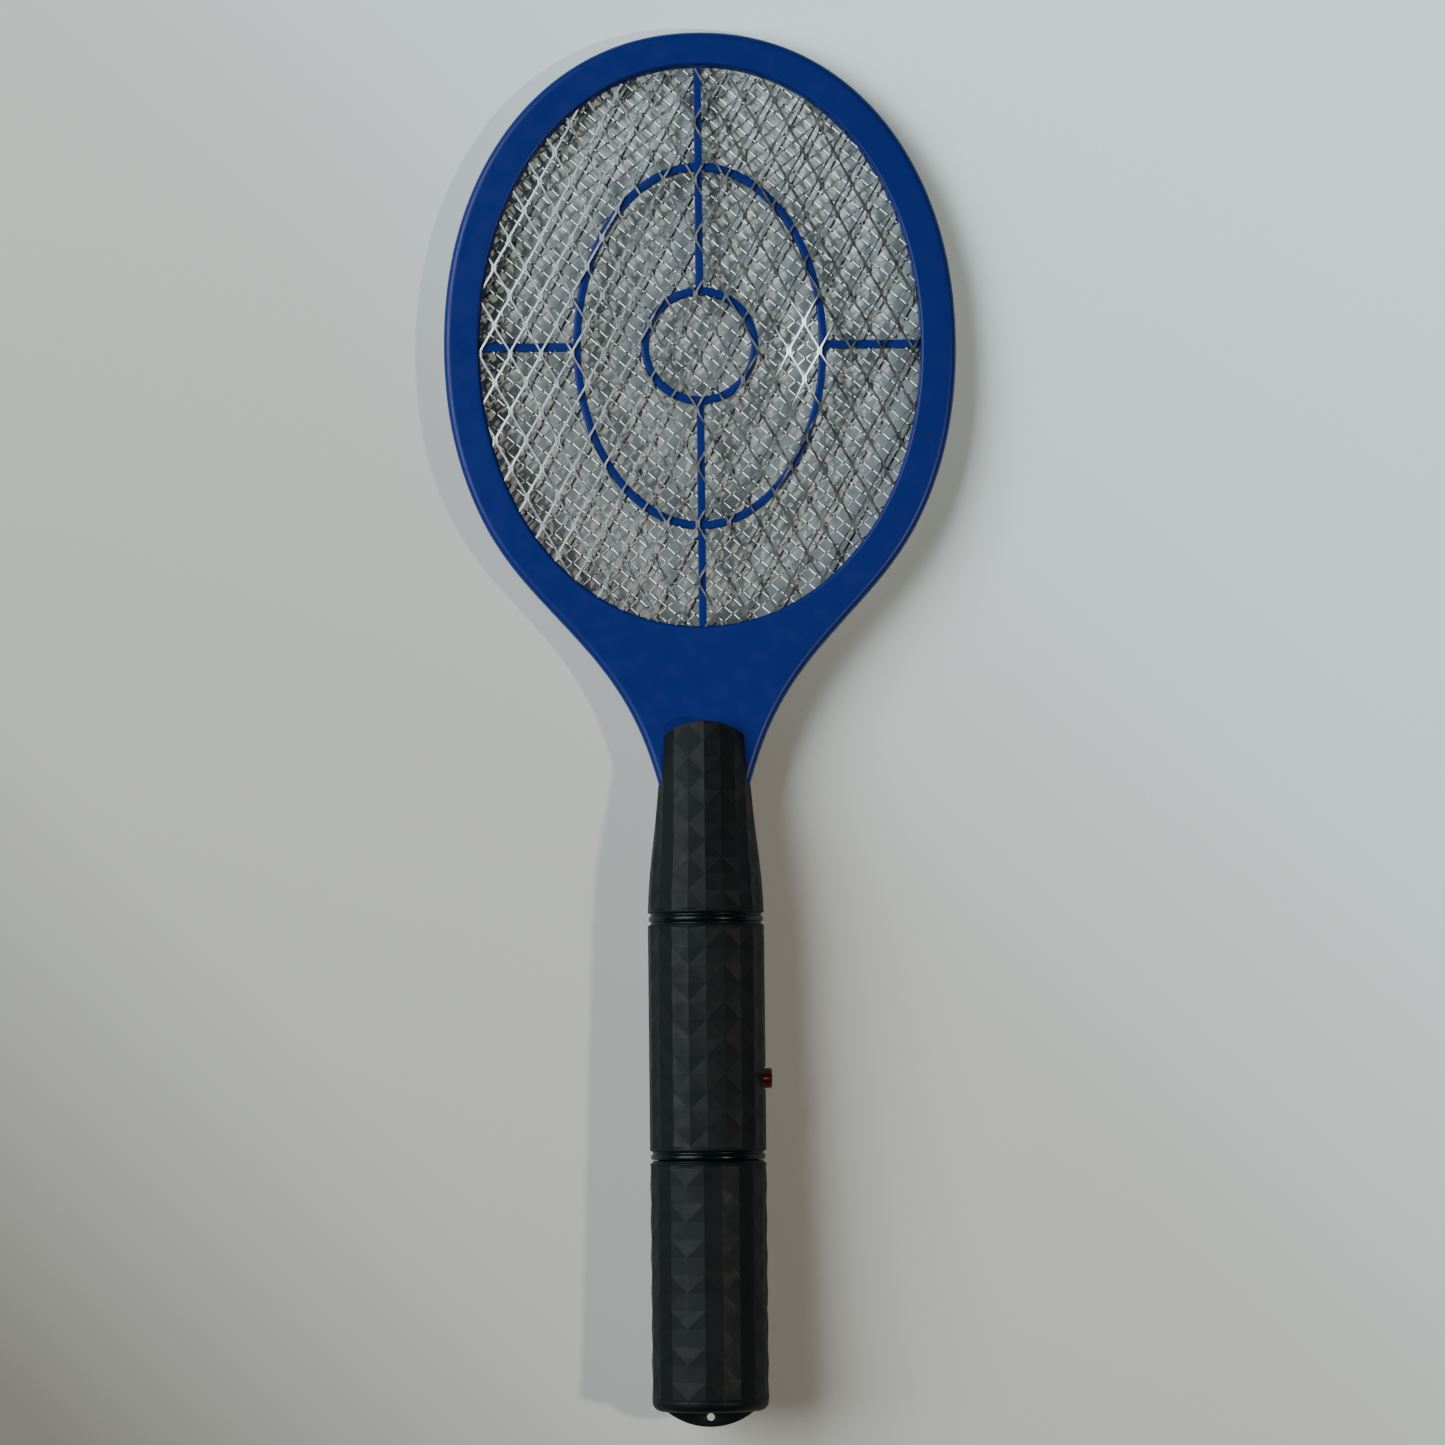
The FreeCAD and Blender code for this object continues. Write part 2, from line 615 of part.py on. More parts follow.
def battery_sleeve():
    """The lower part of the handle: a tube with a closed end and a hanging tab."""
    corner = [
        (
            HANDLE_RADIUS - SLEEVE_CORNER * (1 - math.cos(math.radians(a))),
            SLEEVE_END_Y + SLEEVE_CORNER * (1 - math.sin(math.radians(a))),
        )
        for a in (0, 22.5, 45, 67.5, 90)
    ]
    mouth = [
        (SLEEVE_BORE, SLEEVE_TOP_Y),
        (HANDLE_RADIUS - SLEEVE_CHAMFER, SLEEVE_TOP_Y),
        (HANDLE_RADIUS, SLEEVE_TOP_Y - SLEEVE_CHAMFER),
    ]
    floor_y = SLEEVE_END_Y + END_WALL
    body = turned(mouth + corner + [(0, SLEEVE_END_Y), (0, floor_y), (SLEEVE_BORE, floor_y)])
    disc = Part.makeCylinder(TAB_RADIUS, TAB_THICKNESS, at(0, END_Y + TAB_RADIUS, -TAB_THICKNESS / 2))
    disc = disc.common(box((-30, 30), (END_Y - 1, SLEEVE_END_Y + 1), (-5, 5)))
    hole = rod(at(0, TAB_HOLE_Y, -5), at(0, TAB_HOLE_Y, 5), TAB_HOLE_RADIUS)
    return body.fuse(disc).cut(hole).removeSplitter()


# ---------------------------------------------------------------- button and switch


def button_cap():
    stem = button_prism(BUTTON_HALF_LENGTH, BUTTON_HALF_HEIGHT, (FLANGE_X[1], BUTTON_FACE_X))
    face_edges = [e for e in stem.Edges if e.BoundBox.XMin > BUTTON_FACE_X - 0.01]
    stem = stem.makeFillet(BUTTON_EDGE, face_edges)
    return stem.fuse(button_prism(FLANGE_HALF_LENGTH, FLANGE_HALF_HEIGHT, FLANGE_X))


def switch_plunger():
    return rod(at(PLUNGER_INNER_X, BUTTON_Y, 0), at(FLANGE_X[0], BUTTON_Y, 0), PLUNGER_RADIUS)


def switch_body():
    half = SWITCH_LENGTH / 2
    body = box(SWITCH_X, (BUTTON_Y - half, BUTTON_Y + half), (BOARD_TOP_Z, SWITCH_TOP_Z))
    bottom = at(PLUNGER_BORE_X, BUTTON_Y, 0)
    mouth = at(SWITCH_X[1], BUTTON_Y, 0)
    return body.cut(rod(bottom, mouth, PLUNGER_RADIUS + PLUNGER_CLEARANCE))


def switch_spring():
    length = FLANGE_X[0] - SWITCH_X[1]
    base = at(SWITCH_X[1], BUTTON_Y, 0)
    return helix_spring(base, V(1, 0, 0), SPRING_RADIUS, SPRING_WIRE, length, SPRING_TURNS)


# ---------------------------------------------------------------- circuit board


def on_board(heights):
    """Heights above the board as heights above the mid-plane."""
    return (BOARD_TOP_Z + heights[0], BOARD_TOP_Z + heights[1])


def leg(x, y, top, radius=LEAD_RADIUS):
    """An upright lead from the board to a height above it."""
    return rod(at(x, y, BOARD_TOP_Z), at(x, y, BOARD_TOP_Z + top), radius)


def circuit_board():
    z = (BOARD_TOP_Z - BOARD_THICKNESS, BOARD_TOP_Z)
    board = box((-BOARD_HALF_WIDTH, BOARD_HALF_WIDTH), BOARD_Y, z)
    notch_y = (BUTTON_Y - BOARD_NOTCH_HALF_LENGTH, BUTTON_Y + BOARD_NOTCH_HALF_LENGTH)
    return board.cut(box((BOARD_NOTCH_X, BOARD_HALF_WIDTH + 1), notch_y, z))


def transformer_core():
    """A closed E core: a frame of ferrite with a middle leg."""
    z = on_board(CORE_HEIGHT)
    core = box(CORE_X, CORE_Y, z)
    for window in CORE_WINDOWS_X:
        core = core.cut(box(window, CORE_Y, (z[0] + CORE_BAR, z[1] - CORE_BAR)))
    return core


def transformer_winding():
    """The wound bobbin on the middle leg."""
    z = on_board(WINDING_HEIGHT)
    winding = box(WINDING_X, WINDING_Y, z)
    upright = [e for e in winding.Edges if e.BoundBox.ZLength > z[1] - z[0] - 0.1]
    winding = winding.makeFillet(WINDING_CORNER, upright)
    leg_x = (CORE_WINDOWS_X[0][1] - WINDING_PLAY, CORE_WINDOWS_X[1][0] + WINDING_PLAY)
    leg_y = (CORE_Y[0] - WINDING_PLAY, CORE_Y[1] + WINDING_PLAY)
    return winding.cut(box(leg_x, leg_y, z))


def transistor():
    """A small package with one flat side, on three legs."""
    x, y = TRANSISTOR_PLACE
    z = on_board(TRANSISTOR_HEIGHT)
    body = rod(at(x, y, z[0]), at(x, y, z[1]), TRANSISTOR_RADIUS)
    reach = 2 * TRANSISTOR_RADIUS
    body = body.cut(box((x - reach, x + reach), (y + TRANSISTOR_FLAT, y + reach), z))
    places = [x - TRANSISTOR_LEG_PITCH, x, x + TRANSISTOR_LEG_PITCH]
    return body.multiFuse([leg(lx, y, TRANSISTOR_HEIGHT[0], TRANSISTOR_LEG_RADIUS) for lx in places])


def storage_capacitor():
    body = box(STORAGE_X, STORAGE_Y, on_board(STORAGE_HEIGHT))
    body = body.makeFillet(STORAGE_CORNER, body.Edges)
    middle = sum(STORAGE_X) / 2
    top = STORAGE_HEIGHT[0] + STORAGE_CORNER
    return body.multiFuse([leg(middle, y, top) for y in STORAGE_LEG_Y])


def multiplier_capacitors():
    """Three ceramic discs on edge."""
    discs = []
    half = DISC_THICKNESS / 2
    for x in DISC_X:
        z = BOARD_TOP_Z + DISC_HEIGHT
        disc = rod(at(x, DISC_Y - half, z), at(x, DISC_Y + half, z), DISC_RADIUS)
        disc = disc.makeFillet(DISC_EDGE, disc.Edges)
        legs = [leg(x + dx, DISC_Y, DISC_HEIGHT - DISC_RADIUS / 2) for dx in (-DISC_LEG_X, DISC_LEG_X)]
        discs.append(disc.multiFuse(legs))
    return Part.makeCompound(discs)


def axial_part(x, y, body, reach):
    """A part with a lead at each end, lying along Y and bent down to the board."""
    radius, length = body
    height = radius + AXIAL_PART_LIFT
    z = BOARD_TOP_Z + height
    half = length / 2
    solid = rod(at(x, y - half, z), at(x, y + half, z), radius)
    for side in (1, -1):
        end = at(x, y + side * reach, z)
        solid = solid.fuse(rod(at(x, y + side * half, z), end, LEAD_RADIUS))
        solid = solid.fuse(Part.makeSphere(LEAD_RADIUS, end))
        solid = solid.fuse(leg(x, y + side * reach, height))
    return solid


def rectifier_diodes():
    return Part.makeCompound([axial_part(x, DIODE_Y, DIODE_BODY, DIODE_REACH) for x in DIODE_X])


def resistors():
    return Part.makeCompound([axial_part(x, RESISTOR_Y, RESISTOR_BODY, RESISTOR_REACH) for x in RESISTOR_X])


# ---------------------------------------------------------------- batteries


def cell(x, negative_y, towards):
    """An AA cell whose negative end is at negative_y and whose nub points towards."""
    shoulder = negative_y + towards * CELL_BODY
    tip = shoulder + towards * CELL_NUB
    can = rod(at(x, negative_y, 0), at(x, shoulder, 0), CELL_RADIUS)
    can = can.makeFillet(CELL_EDGE, can.Edges)
    return can.fuse(rod(at(x, shoulder, 0), at(x, tip, 0), CELL_NUB_RADIUS))


def left_cell():
    return cell(-CELL_X, TRAY_FACE_Y - CONTACT_SPRING_LENGTH, -1)


def right_cell():
    nub_y = TRAY_FACE_Y - CONTACT_THICKNESS
    return cell(CELL_X, nub_y - CELL_NUB - CELL_BODY, 1)


def cell_tray():
    """A flanged cup clamped between the shells, with a cradle under the cells."""
    flange = rod(at(0, TRAY_FLANGE_Y[1], 0), at(0, TRAY_FLANGE_Y[0], 0), TRAY_FLANGE_RADIUS)
    barrel = rod(at(0, TRAY_FLANGE_Y[1], 0), at(0, TRAY_FACE_Y, 0), TRAY_BARREL_RADIUS)
    bore = rod(at(0, TRAY_FLANGE_Y[1], 0), at(0, TRAY_FACE_Y + TRAY_WALL, 0), TRAY_BARREL_BORE)
    width = CRADLE_HALF_WIDTH
    cradle = box((-width, width), (CRADLE_END_Y, TRAY_FACE_Y + TRAY_WALL), CRADLE_Z)
    tray = flange.fuse(barrel).cut(bore).fuse(cradle)
    for x in (-CELL_X, CELL_X):
        hole = rod(at(x, TRAY_FACE_Y - 1, 0), at(x, TRAY_FACE_Y + TRAY_WALL + 1, 0), RIVET_RADIUS + 0.1)
        tray = tray.cut(hole)
    return tray.removeSplitter()


def rivet(x):
    """The stud that carries a contact through the tray's wall."""
    return rod(at(x, TRAY_FACE_Y, 0), at(x, TRAY_FACE_Y + TRAY_WALL + RIVET_STUD, 0), RIVET_RADIUS)


def contact_plate(x, face_y):
    """A square contact plate whose far face is at face_y."""
    half = CONTACT_HALF_WIDTH
    return box((x - half, x + half), (face_y - CONTACT_THICKNESS, face_y), (-half, half))


def positive_contact():
    return contact_plate(CELL_X, TRAY_FACE_Y).fuse(rivet(CELL_X))


def negative_contact():
    base = at(-CELL_X, TRAY_FACE_Y - CONTACT_THICKNESS, 0)
    length = CONTACT_SPRING_LENGTH - CONTACT_THICKNESS
    coil = helix_spring(base, V(0, -1, 0), COIL_RADIUS, COIL_WIRE, length, COIL_TURNS)
    return Part.makeCompound([contact_plate(-CELL_X, TRAY_FACE_Y).fuse(rivet(-CELL_X)), coil])


def bridge_contact():
    """The plate and spring in the sleeve's end that join the two cells."""
    half = CONTACT_HALF_WIDTH
    reach = CELL_X + half
    plate = box((-reach, reach), (BRIDGE_Y - CONTACT_THICKNESS, BRIDGE_Y), (-half, half))
    cell_end_y = TRAY_FACE_Y - CONTACT_THICKNESS - CELL_NUB - CELL_BODY
    base = at(CELL_X, BRIDGE_Y, 0)
    coil = helix_spring(base, V(0, 1, 0), COIL_RADIUS, COIL_WIRE, cell_end_y - BRIDGE_Y, COIL_TURNS)
    return Part.makeCompound([plate, coil])


# ---------------------------------------------------------------- leads


def battery_lead(x):
    """From a contact's rivet, past the screw boss, to the lower end of the board."""
    start_y = TRAY_FACE_Y + TRAY_WALL + RIVET_STUD
    end_y = BOARD_Y[0] + LEAD_INSET
    boss_x, end_x = (x * share for share in BATTERY_LEAD_DRAW_IN)
    boss_z, end_z = BATTERY_LEAD_HEIGHTS
    return insulated_wire(
        [
            at(x, start_y, 0),
            at(x, start_y + BATTERY_LEAD_STRAIGHT, 0),
            at(boss_x, SCREW_Y[2] - LEAD_INSET, boss_z),
            at(end_x, end_y, end_z),
            at(end_x, end_y, BOARD_TOP_Z),
        ],
        WIRE_RADIUS,
    )


def mesh_lead(x, z):
    """From the end of a terminal strip to the upper end of the board."""
    end_y = BOARD_Y[1] - LEAD_INSET
    start_y = TANG_END_Y - STRIP_END_GAP
    return insulated_wire([at(x, start_y, z), at(x, end_y, z), at(x, end_y, BOARD_TOP_Z)], WIRE_RADIUS)


PARTS = {
    "front_frame": front_frame,
    "rear_frame": rear_frame,
    "frame_screws": frame_screws,
    "front_spacer_grille": spacer_grille,
    "rear_spacer_grille": lambda: mirrored_z(spacer_grille()),
    "front_mesh": lambda: mesh(
        COARSE_PITCH_X, COARSE_PITCH_Y, COARSE_STRAND, (OUTER_MESH_Z, OUTER_MESH_Z + MESH_THICKNESS)
    ),
    "centre_mesh": lambda: mesh(
        FINE_PITCH_X, FINE_PITCH_Y, FINE_STRAND, (-MESH_THICKNESS / 2, MESH_THICKNESS / 2)
    ),
    "rear_mesh": lambda: mesh(
        COARSE_PITCH_X, COARSE_PITCH_Y, COARSE_STRAND, (-OUTER_MESH_Z - MESH_THICKNESS, -OUTER_MESH_Z)
    ),
    "centre_terminal_strip": centre_terminal_strip,
    "outer_terminal_strips": outer_terminal_strips,
    "handle_front_shell": handle_front_shell,
    "handle_rear_shell": handle_rear_shell,
    "handle_screws": handle_screws,
    "battery_sleeve": battery_sleeve,
    "button_cap": button_cap,
    "switch_plunger": switch_plunger,
    "switch_body": switch_body,
    "switch_spring": switch_spring,
    "circuit_board": circuit_board,
    "transformer_core": transformer_core,
    "transformer_winding": transformer_winding,
    "transistor": transistor,
    "storage_capacitor": storage_capacitor,
    "multiplier_capacitors": multiplier_capacitors,
    "rectifier_diodes": rectifier_diodes,
    "resistors": resistors,
    "cell_tray": cell_tray,
    "left_cell": left_cell,
    "right_cell": right_cell,
    "positive_contact": positive_contact,
    "negative_contact": negative_contact,
    "bridge_contact": bridge_contact,
    "battery_lead_red": lambda: battery_lead(CELL_X),
    "battery_lead_black": lambda: battery_lead(-CELL_X),
    "centre_mesh_lead": lambda: mesh_lead(CENTRE_CHANNEL_X, -WIRE_RADIUS),
    "outer_mesh_lead": lambda: mesh_lead(OUTER_CHANNEL_X, OUTER_MESH_Z - WIRE_RADIUS),
}


def main():
    os.makedirs("parts", exist_ok=True)
    for name, make in PARTS.items():
        shape = make()
        shape.exportStep(f"parts/{name}.step")
        volume = sum(s.Volume for s in shape.Solids)
        print(f"{name}: {len(shape.Solids)} solid(s), {volume:.0f} mm3, valid {shape.isValid()}")


if __name__ == "__main__":
    main()
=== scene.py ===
"""Looks of the racket-shaped electric fly swatter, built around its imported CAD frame. Metres, +Z up."""

import bmesh
import bpy
import json
import math
import random
from mathutils import Matrix, Vector


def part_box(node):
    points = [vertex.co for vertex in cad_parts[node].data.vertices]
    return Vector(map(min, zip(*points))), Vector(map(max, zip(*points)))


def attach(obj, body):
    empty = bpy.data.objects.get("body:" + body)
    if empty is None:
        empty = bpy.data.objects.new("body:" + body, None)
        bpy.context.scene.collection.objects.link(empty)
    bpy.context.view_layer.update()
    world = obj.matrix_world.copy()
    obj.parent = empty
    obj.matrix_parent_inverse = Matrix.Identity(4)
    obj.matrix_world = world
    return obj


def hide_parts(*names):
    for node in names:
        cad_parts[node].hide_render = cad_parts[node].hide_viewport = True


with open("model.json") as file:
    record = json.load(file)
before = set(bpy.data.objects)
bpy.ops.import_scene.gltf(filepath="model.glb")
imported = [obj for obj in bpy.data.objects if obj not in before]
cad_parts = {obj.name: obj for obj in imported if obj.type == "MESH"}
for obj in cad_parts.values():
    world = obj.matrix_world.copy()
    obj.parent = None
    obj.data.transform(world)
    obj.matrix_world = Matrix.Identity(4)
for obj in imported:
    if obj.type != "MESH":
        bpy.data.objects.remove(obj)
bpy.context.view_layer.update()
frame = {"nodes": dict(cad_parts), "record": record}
random.seed(7)

MM = 0.001

# Places read from the frame, in mm
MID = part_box("front_frame")[0][2] / MM
HEAD_TOP_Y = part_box("front_frame")[1][1] / MM
HALF_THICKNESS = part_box("front_frame")[1][2] / MM - MID
SLEEVE_TOP_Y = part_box("battery_sleeve")[1][1] / MM
TAB_END_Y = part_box("battery_sleeve")[0][1] / MM
BUTTON_Y = (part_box("button_cap")[0][1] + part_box("button_cap")[1][1]) / 2 / MM
BUTTON_FACE_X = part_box("button_cap")[1][0] / MM
GRILLE_TOP_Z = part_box("front_spacer_grille")[1][2] / MM - MID
HANDLE_TOP_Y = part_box("handle_front_shell")[1][1] / MM
HANDLE_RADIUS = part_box("battery_sleeve")[1][0] / MM

# Head, in mm, with heights from the mid-plane
HEAD_CENTRE_Y = 121.9
HEAD_HALF = (81.8, HEAD_TOP_Y - HEAD_CENTRE_Y)
HEAD_POWER = 2.12
OPENING_HALF = (70.7, 90.1)
OPENING_POWER = 2.07
JOIN_ANGLE = 47.0
EDGE_RADIUS = 2.2
INNER_EDGE_RADIUS = 0.8
FLAT_MARGIN = (0.6, 0.5)  # from the rounded rim and the rounded lip to the plain flat
BAND_COUNT = 216
LIP = 1.6
POCKET_MARGIN = 5.0
NECK = [(48.3, 37.2), (39.6, 27.6), (31.7, 18.0), (25.4, 8.5), (20.5, -1.1), (16.9, -10.7), (14.5, -18.5)]
TANG = [(-13.0, -22.0), (-11.0, -27.0), (-11.0, -61.5), (11.0, -61.5), (11.0, -27.0), (13.0, -22.0)]
SCREW_MARGIN = 6.9
SCREW_ANGLES = [-45.0, -10.0, 28.0, 66.0, 114.0, 152.0, 190.0, 225.0]
SCREW_HOLE = (2.0, 1.25)  # radius and depth
SCREW_MOUTH = 0.35

# Spacer grille
RIB = 2.5
GRILLE_Z = (GRILLE_TOP_Z - 2.0, GRILLE_TOP_Z)
OVAL_RING = (40.6, 58.8)
SMALL_RING = 18.8
GRILLE_RIM = 4.7
GRILLE_EDGE = 0.3

# Meshes
MESH_HALF = (72.0, 90.4)
MESH_CENTRE_Y = HEAD_CENTRE_Y - 1.5
MESH_POWER = OPENING_POWER
SHORTEST_STRAND = 0.3
DENT = (33.0, 120.5)
DENT_HALF = (8.0, 14.0)

# Handle, with TAPER as (radius, y)
TAPER = [(12.9, 1.4), (14.7, -18.7), (16.2, -33.7), (17.9, -49.0), (18.4, -57.5)]
RING_Y = [-61.3, -136.9]
TOP_ARC = 20.6
RELIEF = 0.27
FACET_ANGLE = 18.0
FACET_PITCH = 5.85
TAPER_PITCH = 5.58
FACET_EDGE = 0.12
RING_HALF = 2.6
RING_OVERLAP = 0.1
WALL = 2.2
BORE = HANDLE_RADIUS - WALL
SLEEVE_BORE = 16.2
SPIGOT = (15.9, 14.9, -151.0)  # outer radius, bore and end
SEAM = 0.3  # degrees left open between the shells

# Hanging tab
TAB_RADIUS = 21.9
TAB_THICKNESS = 2.6
TAB_HOLE = (1.25, 3.1)  # radius, and distance from the tab's end
TAB_DEPTH = 5.1
TAB_EDGE = 0.45

# Push button, as half sizes along the handle and up
BUTTON_HALF = (3.2, 5.75)
BUTTON_FLANGE = (4.4, 7.0)
BUTTON_FLANGE_X = (12.9, 14.3)
BUTTON_WELL = (3.55, 6.1)


# ---------------------------------------------------------------- mesh helpers


def place(x, y, z):
    """A point in metres from mm, with z above the mid-plane."""
    return Vector((x * MM, y * MM, (MID + z) * MM))


def superellipse(half, power, degrees, margin=0.0, centre_y=HEAD_CENTRE_Y):
    """A point of an oval that is fuller than an ellipse when power is over 2."""
    cosine = math.cos(math.radians(degrees))
    sine = math.sin(math.radians(degrees))
    x = (half[0] + margin) * math.copysign(abs(cosine) ** (2 / power), cosine)
    y = (half[1] + margin) * math.copysign(abs(sine) ** (2 / power), sine)
    return (x, centre_y + y)


def closed_oval(half, power, count, margin=0.0, centre_y=HEAD_CENTRE_Y):
    """The whole oval, counterclockwise, as count points."""
    return [superellipse(half, power, 360 * i / count, margin, centre_y) for i in range(count)]


def spline(points, per_span):
    """A cubic with continuous curvature through the points, divided per_span times between each two."""
    count = len(points)
    knots = [0.0]
    for a, b in zip(points, points[1:]):
        knots.append(knots[-1] + math.dist(a, b))
    gaps = [b - a for a, b in zip(knots, knots[1:])]
    curved = []
    for axis in (0, 1):
        v = [p[axis] for p in points]
        upper = [0.0] * count
        right = [0.0] * count
        for i in range(1, count - 1):
            slope = 6 * ((v[i + 1] - v[i]) / gaps[i] - (v[i] - v[i - 1]) / gaps[i - 1])
            pivot = 2 * (gaps[i - 1] + gaps[i]) - gaps[i - 1] * upper[i - 1]
            upper[i] = gaps[i] / pivot
            right[i] = (slope - gaps[i - 1] * right[i - 1]) / pivot
        bend = [0.0] * count
        for i in range(count - 2, 0, -1):
            bend[i] = right[i] - upper[i] * bend[i + 1]
        curved.append(bend)
    line = []
    for i in range(count - 1):
        for step in range(per_span):
            b = step / per_span
            a = 1 - b
            h = gaps[i] ** 2 / 6
            line.append(tuple(
                a * points[i][k] + b * points[i + 1][k]
                + h * ((a ** 3 - a) * curved[k][i] + (b ** 3 - b) * curved[k][i + 1])
                for k in (0, 1)
            ))
    line.append(tuple(points[-1]))
    return line


def inset(points, distance):
    """A closed counterclockwise line moved inwards."""
    moved = []
    count = len(points)
    for i, (x, y) in enumerate(points):
        ax, ay = points[i - 1]
        bx, by = points[(i + 1) % count]
        first = Vector((x - ax, y - ay)).normalized()
        second = Vector((bx - x, by - y)).normalized()
        normal = Vector((-(first.y + second.y), first.x + second.x))
        normal.normalize()
        mitre = max(0.5, Vector((-first.y, first.x)).dot(normal))
        moved.append((x + normal.x * distance / mitre, y + normal.y * distance / mitre))
    return moved


def circle(centre, radius, count):
    turns = [math.tau * k / count for k in range(count)]
    return [(centre[0] + radius * math.cos(turn), centre[1] + radius * math.sin(turn)) for turn in turns]


def loop(bm, points, z):
    """The points as vertices at one height."""
    return [bm.verts.new(place(x, y, z)) for x, y in points]


def skin(bm, loops):
    """Quads between closed loops of equal length."""
    for low, high in zip(loops, loops[1:]):
        count = len(low)
        for i in range(count):
            bm.faces.new((low[i], low[(i + 1) % count], high[(i + 1) % count], high[i]))


def loop_edges(bm, verts):
    pairs = [(verts[i - 1], verts[i]) for i in range(len(verts))]
    return [bm.edges.get(pair) or bm.edges.new(pair) for pair in pairs]


def fill(bm, loops):
    """A flat face bounded by loops, with the inner ones as its holes."""
    edges = [e for verts in loops for e in loop_edges(bm, verts)]
    bmesh.ops.triangle_fill(bm, use_beauty=True, use_dissolve=False, edges=edges)


def capped(bm, loops):
    """A skin over the loops, closed by a face at each end."""
    skin(bm, loops)
    bm.faces.new(loops[0])
    bm.faces.new(loops[-1])


def plate(name, outline, holes, levels, hole_share=1.0):
    """A flat plate with holes. levels gives how far its edges lie back at each height.

    The edges of the holes lie back by hole_share of that.
    """
    bm = bmesh.new()
    stacks = [[loop(bm, inset(outline, cut), z) for cut, z in levels]]
    for hole in holes:
        stacks.append([loop(bm, inset(hole, -cut * hole_share), z) for cut, z in levels])
    for stack in stacks:
        skin(bm, stack)
    fill(bm, [stack[-1] for stack in stacks])
    fill(bm, [stack[0] for stack in stacks])
    return finished(bm, name)


def finished(bm, name, smooth=True):
    """The built mesh as an object in the scene."""
    bmesh.ops.remove_doubles(bm, verts=bm.verts, dist=1e-7)
    bmesh.ops.recalc_face_normals(bm, faces=bm.faces)
    mesh = bpy.data.meshes.new(name)
    bm.to_mesh(mesh)
    bm.free()
    for face in mesh.polygons:
        face.use_smooth = smooth
    obj = bpy.data.objects.new(name, mesh)
    bpy.context.scene.collection.objects.link(obj)
    return obj


def soften(obj, width, segments=2, angle=25):
    """Rounds the sharp edges of a piece and keeps its flats flat."""
    bevel = obj.modifiers.new("soft_edges", "BEVEL")
    bevel.width = width * MM
    bevel.segments = segments
    bevel.limit_method = "ANGLE"
    bevel.angle_limit = math.radians(angle)
    bevel.harden_normals = True
    return obj


def applied(obj):
    """The piece with its modifiers made part of its mesh."""
    graph = bpy.context.evaluated_depsgraph_get()
    mesh = bpy.data.meshes.new_from_object(obj.evaluated_get(graph))
    obj.modifiers.clear()
    obj.data = mesh
    return obj


def joined(name, parts):
    """Several closed parts as one piece."""
    bm = bmesh.new()
    for part in parts:
        bm.from_mesh(part.data)
        bpy.data.objects.remove(part)
    mesh = bpy.data.meshes.new(name)
    bm.to_mesh(mesh)
    bm.free()
    obj = bpy.data.objects.new(name, mesh)
    bpy.context.scene.collection.objects.link(obj)
    return obj


def dress(obj, material, body, slot, *nodes):
    """Gives a piece its material and its body, and hides the CAD nodes that it stands for. The slot argument is
    not used.
    """
    obj.data.materials.clear()
    obj.data.materials.append(material)
    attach(obj, body)
    if nodes:
        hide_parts(*nodes)
    return obj


# ---------------------------------------------------------------- materials


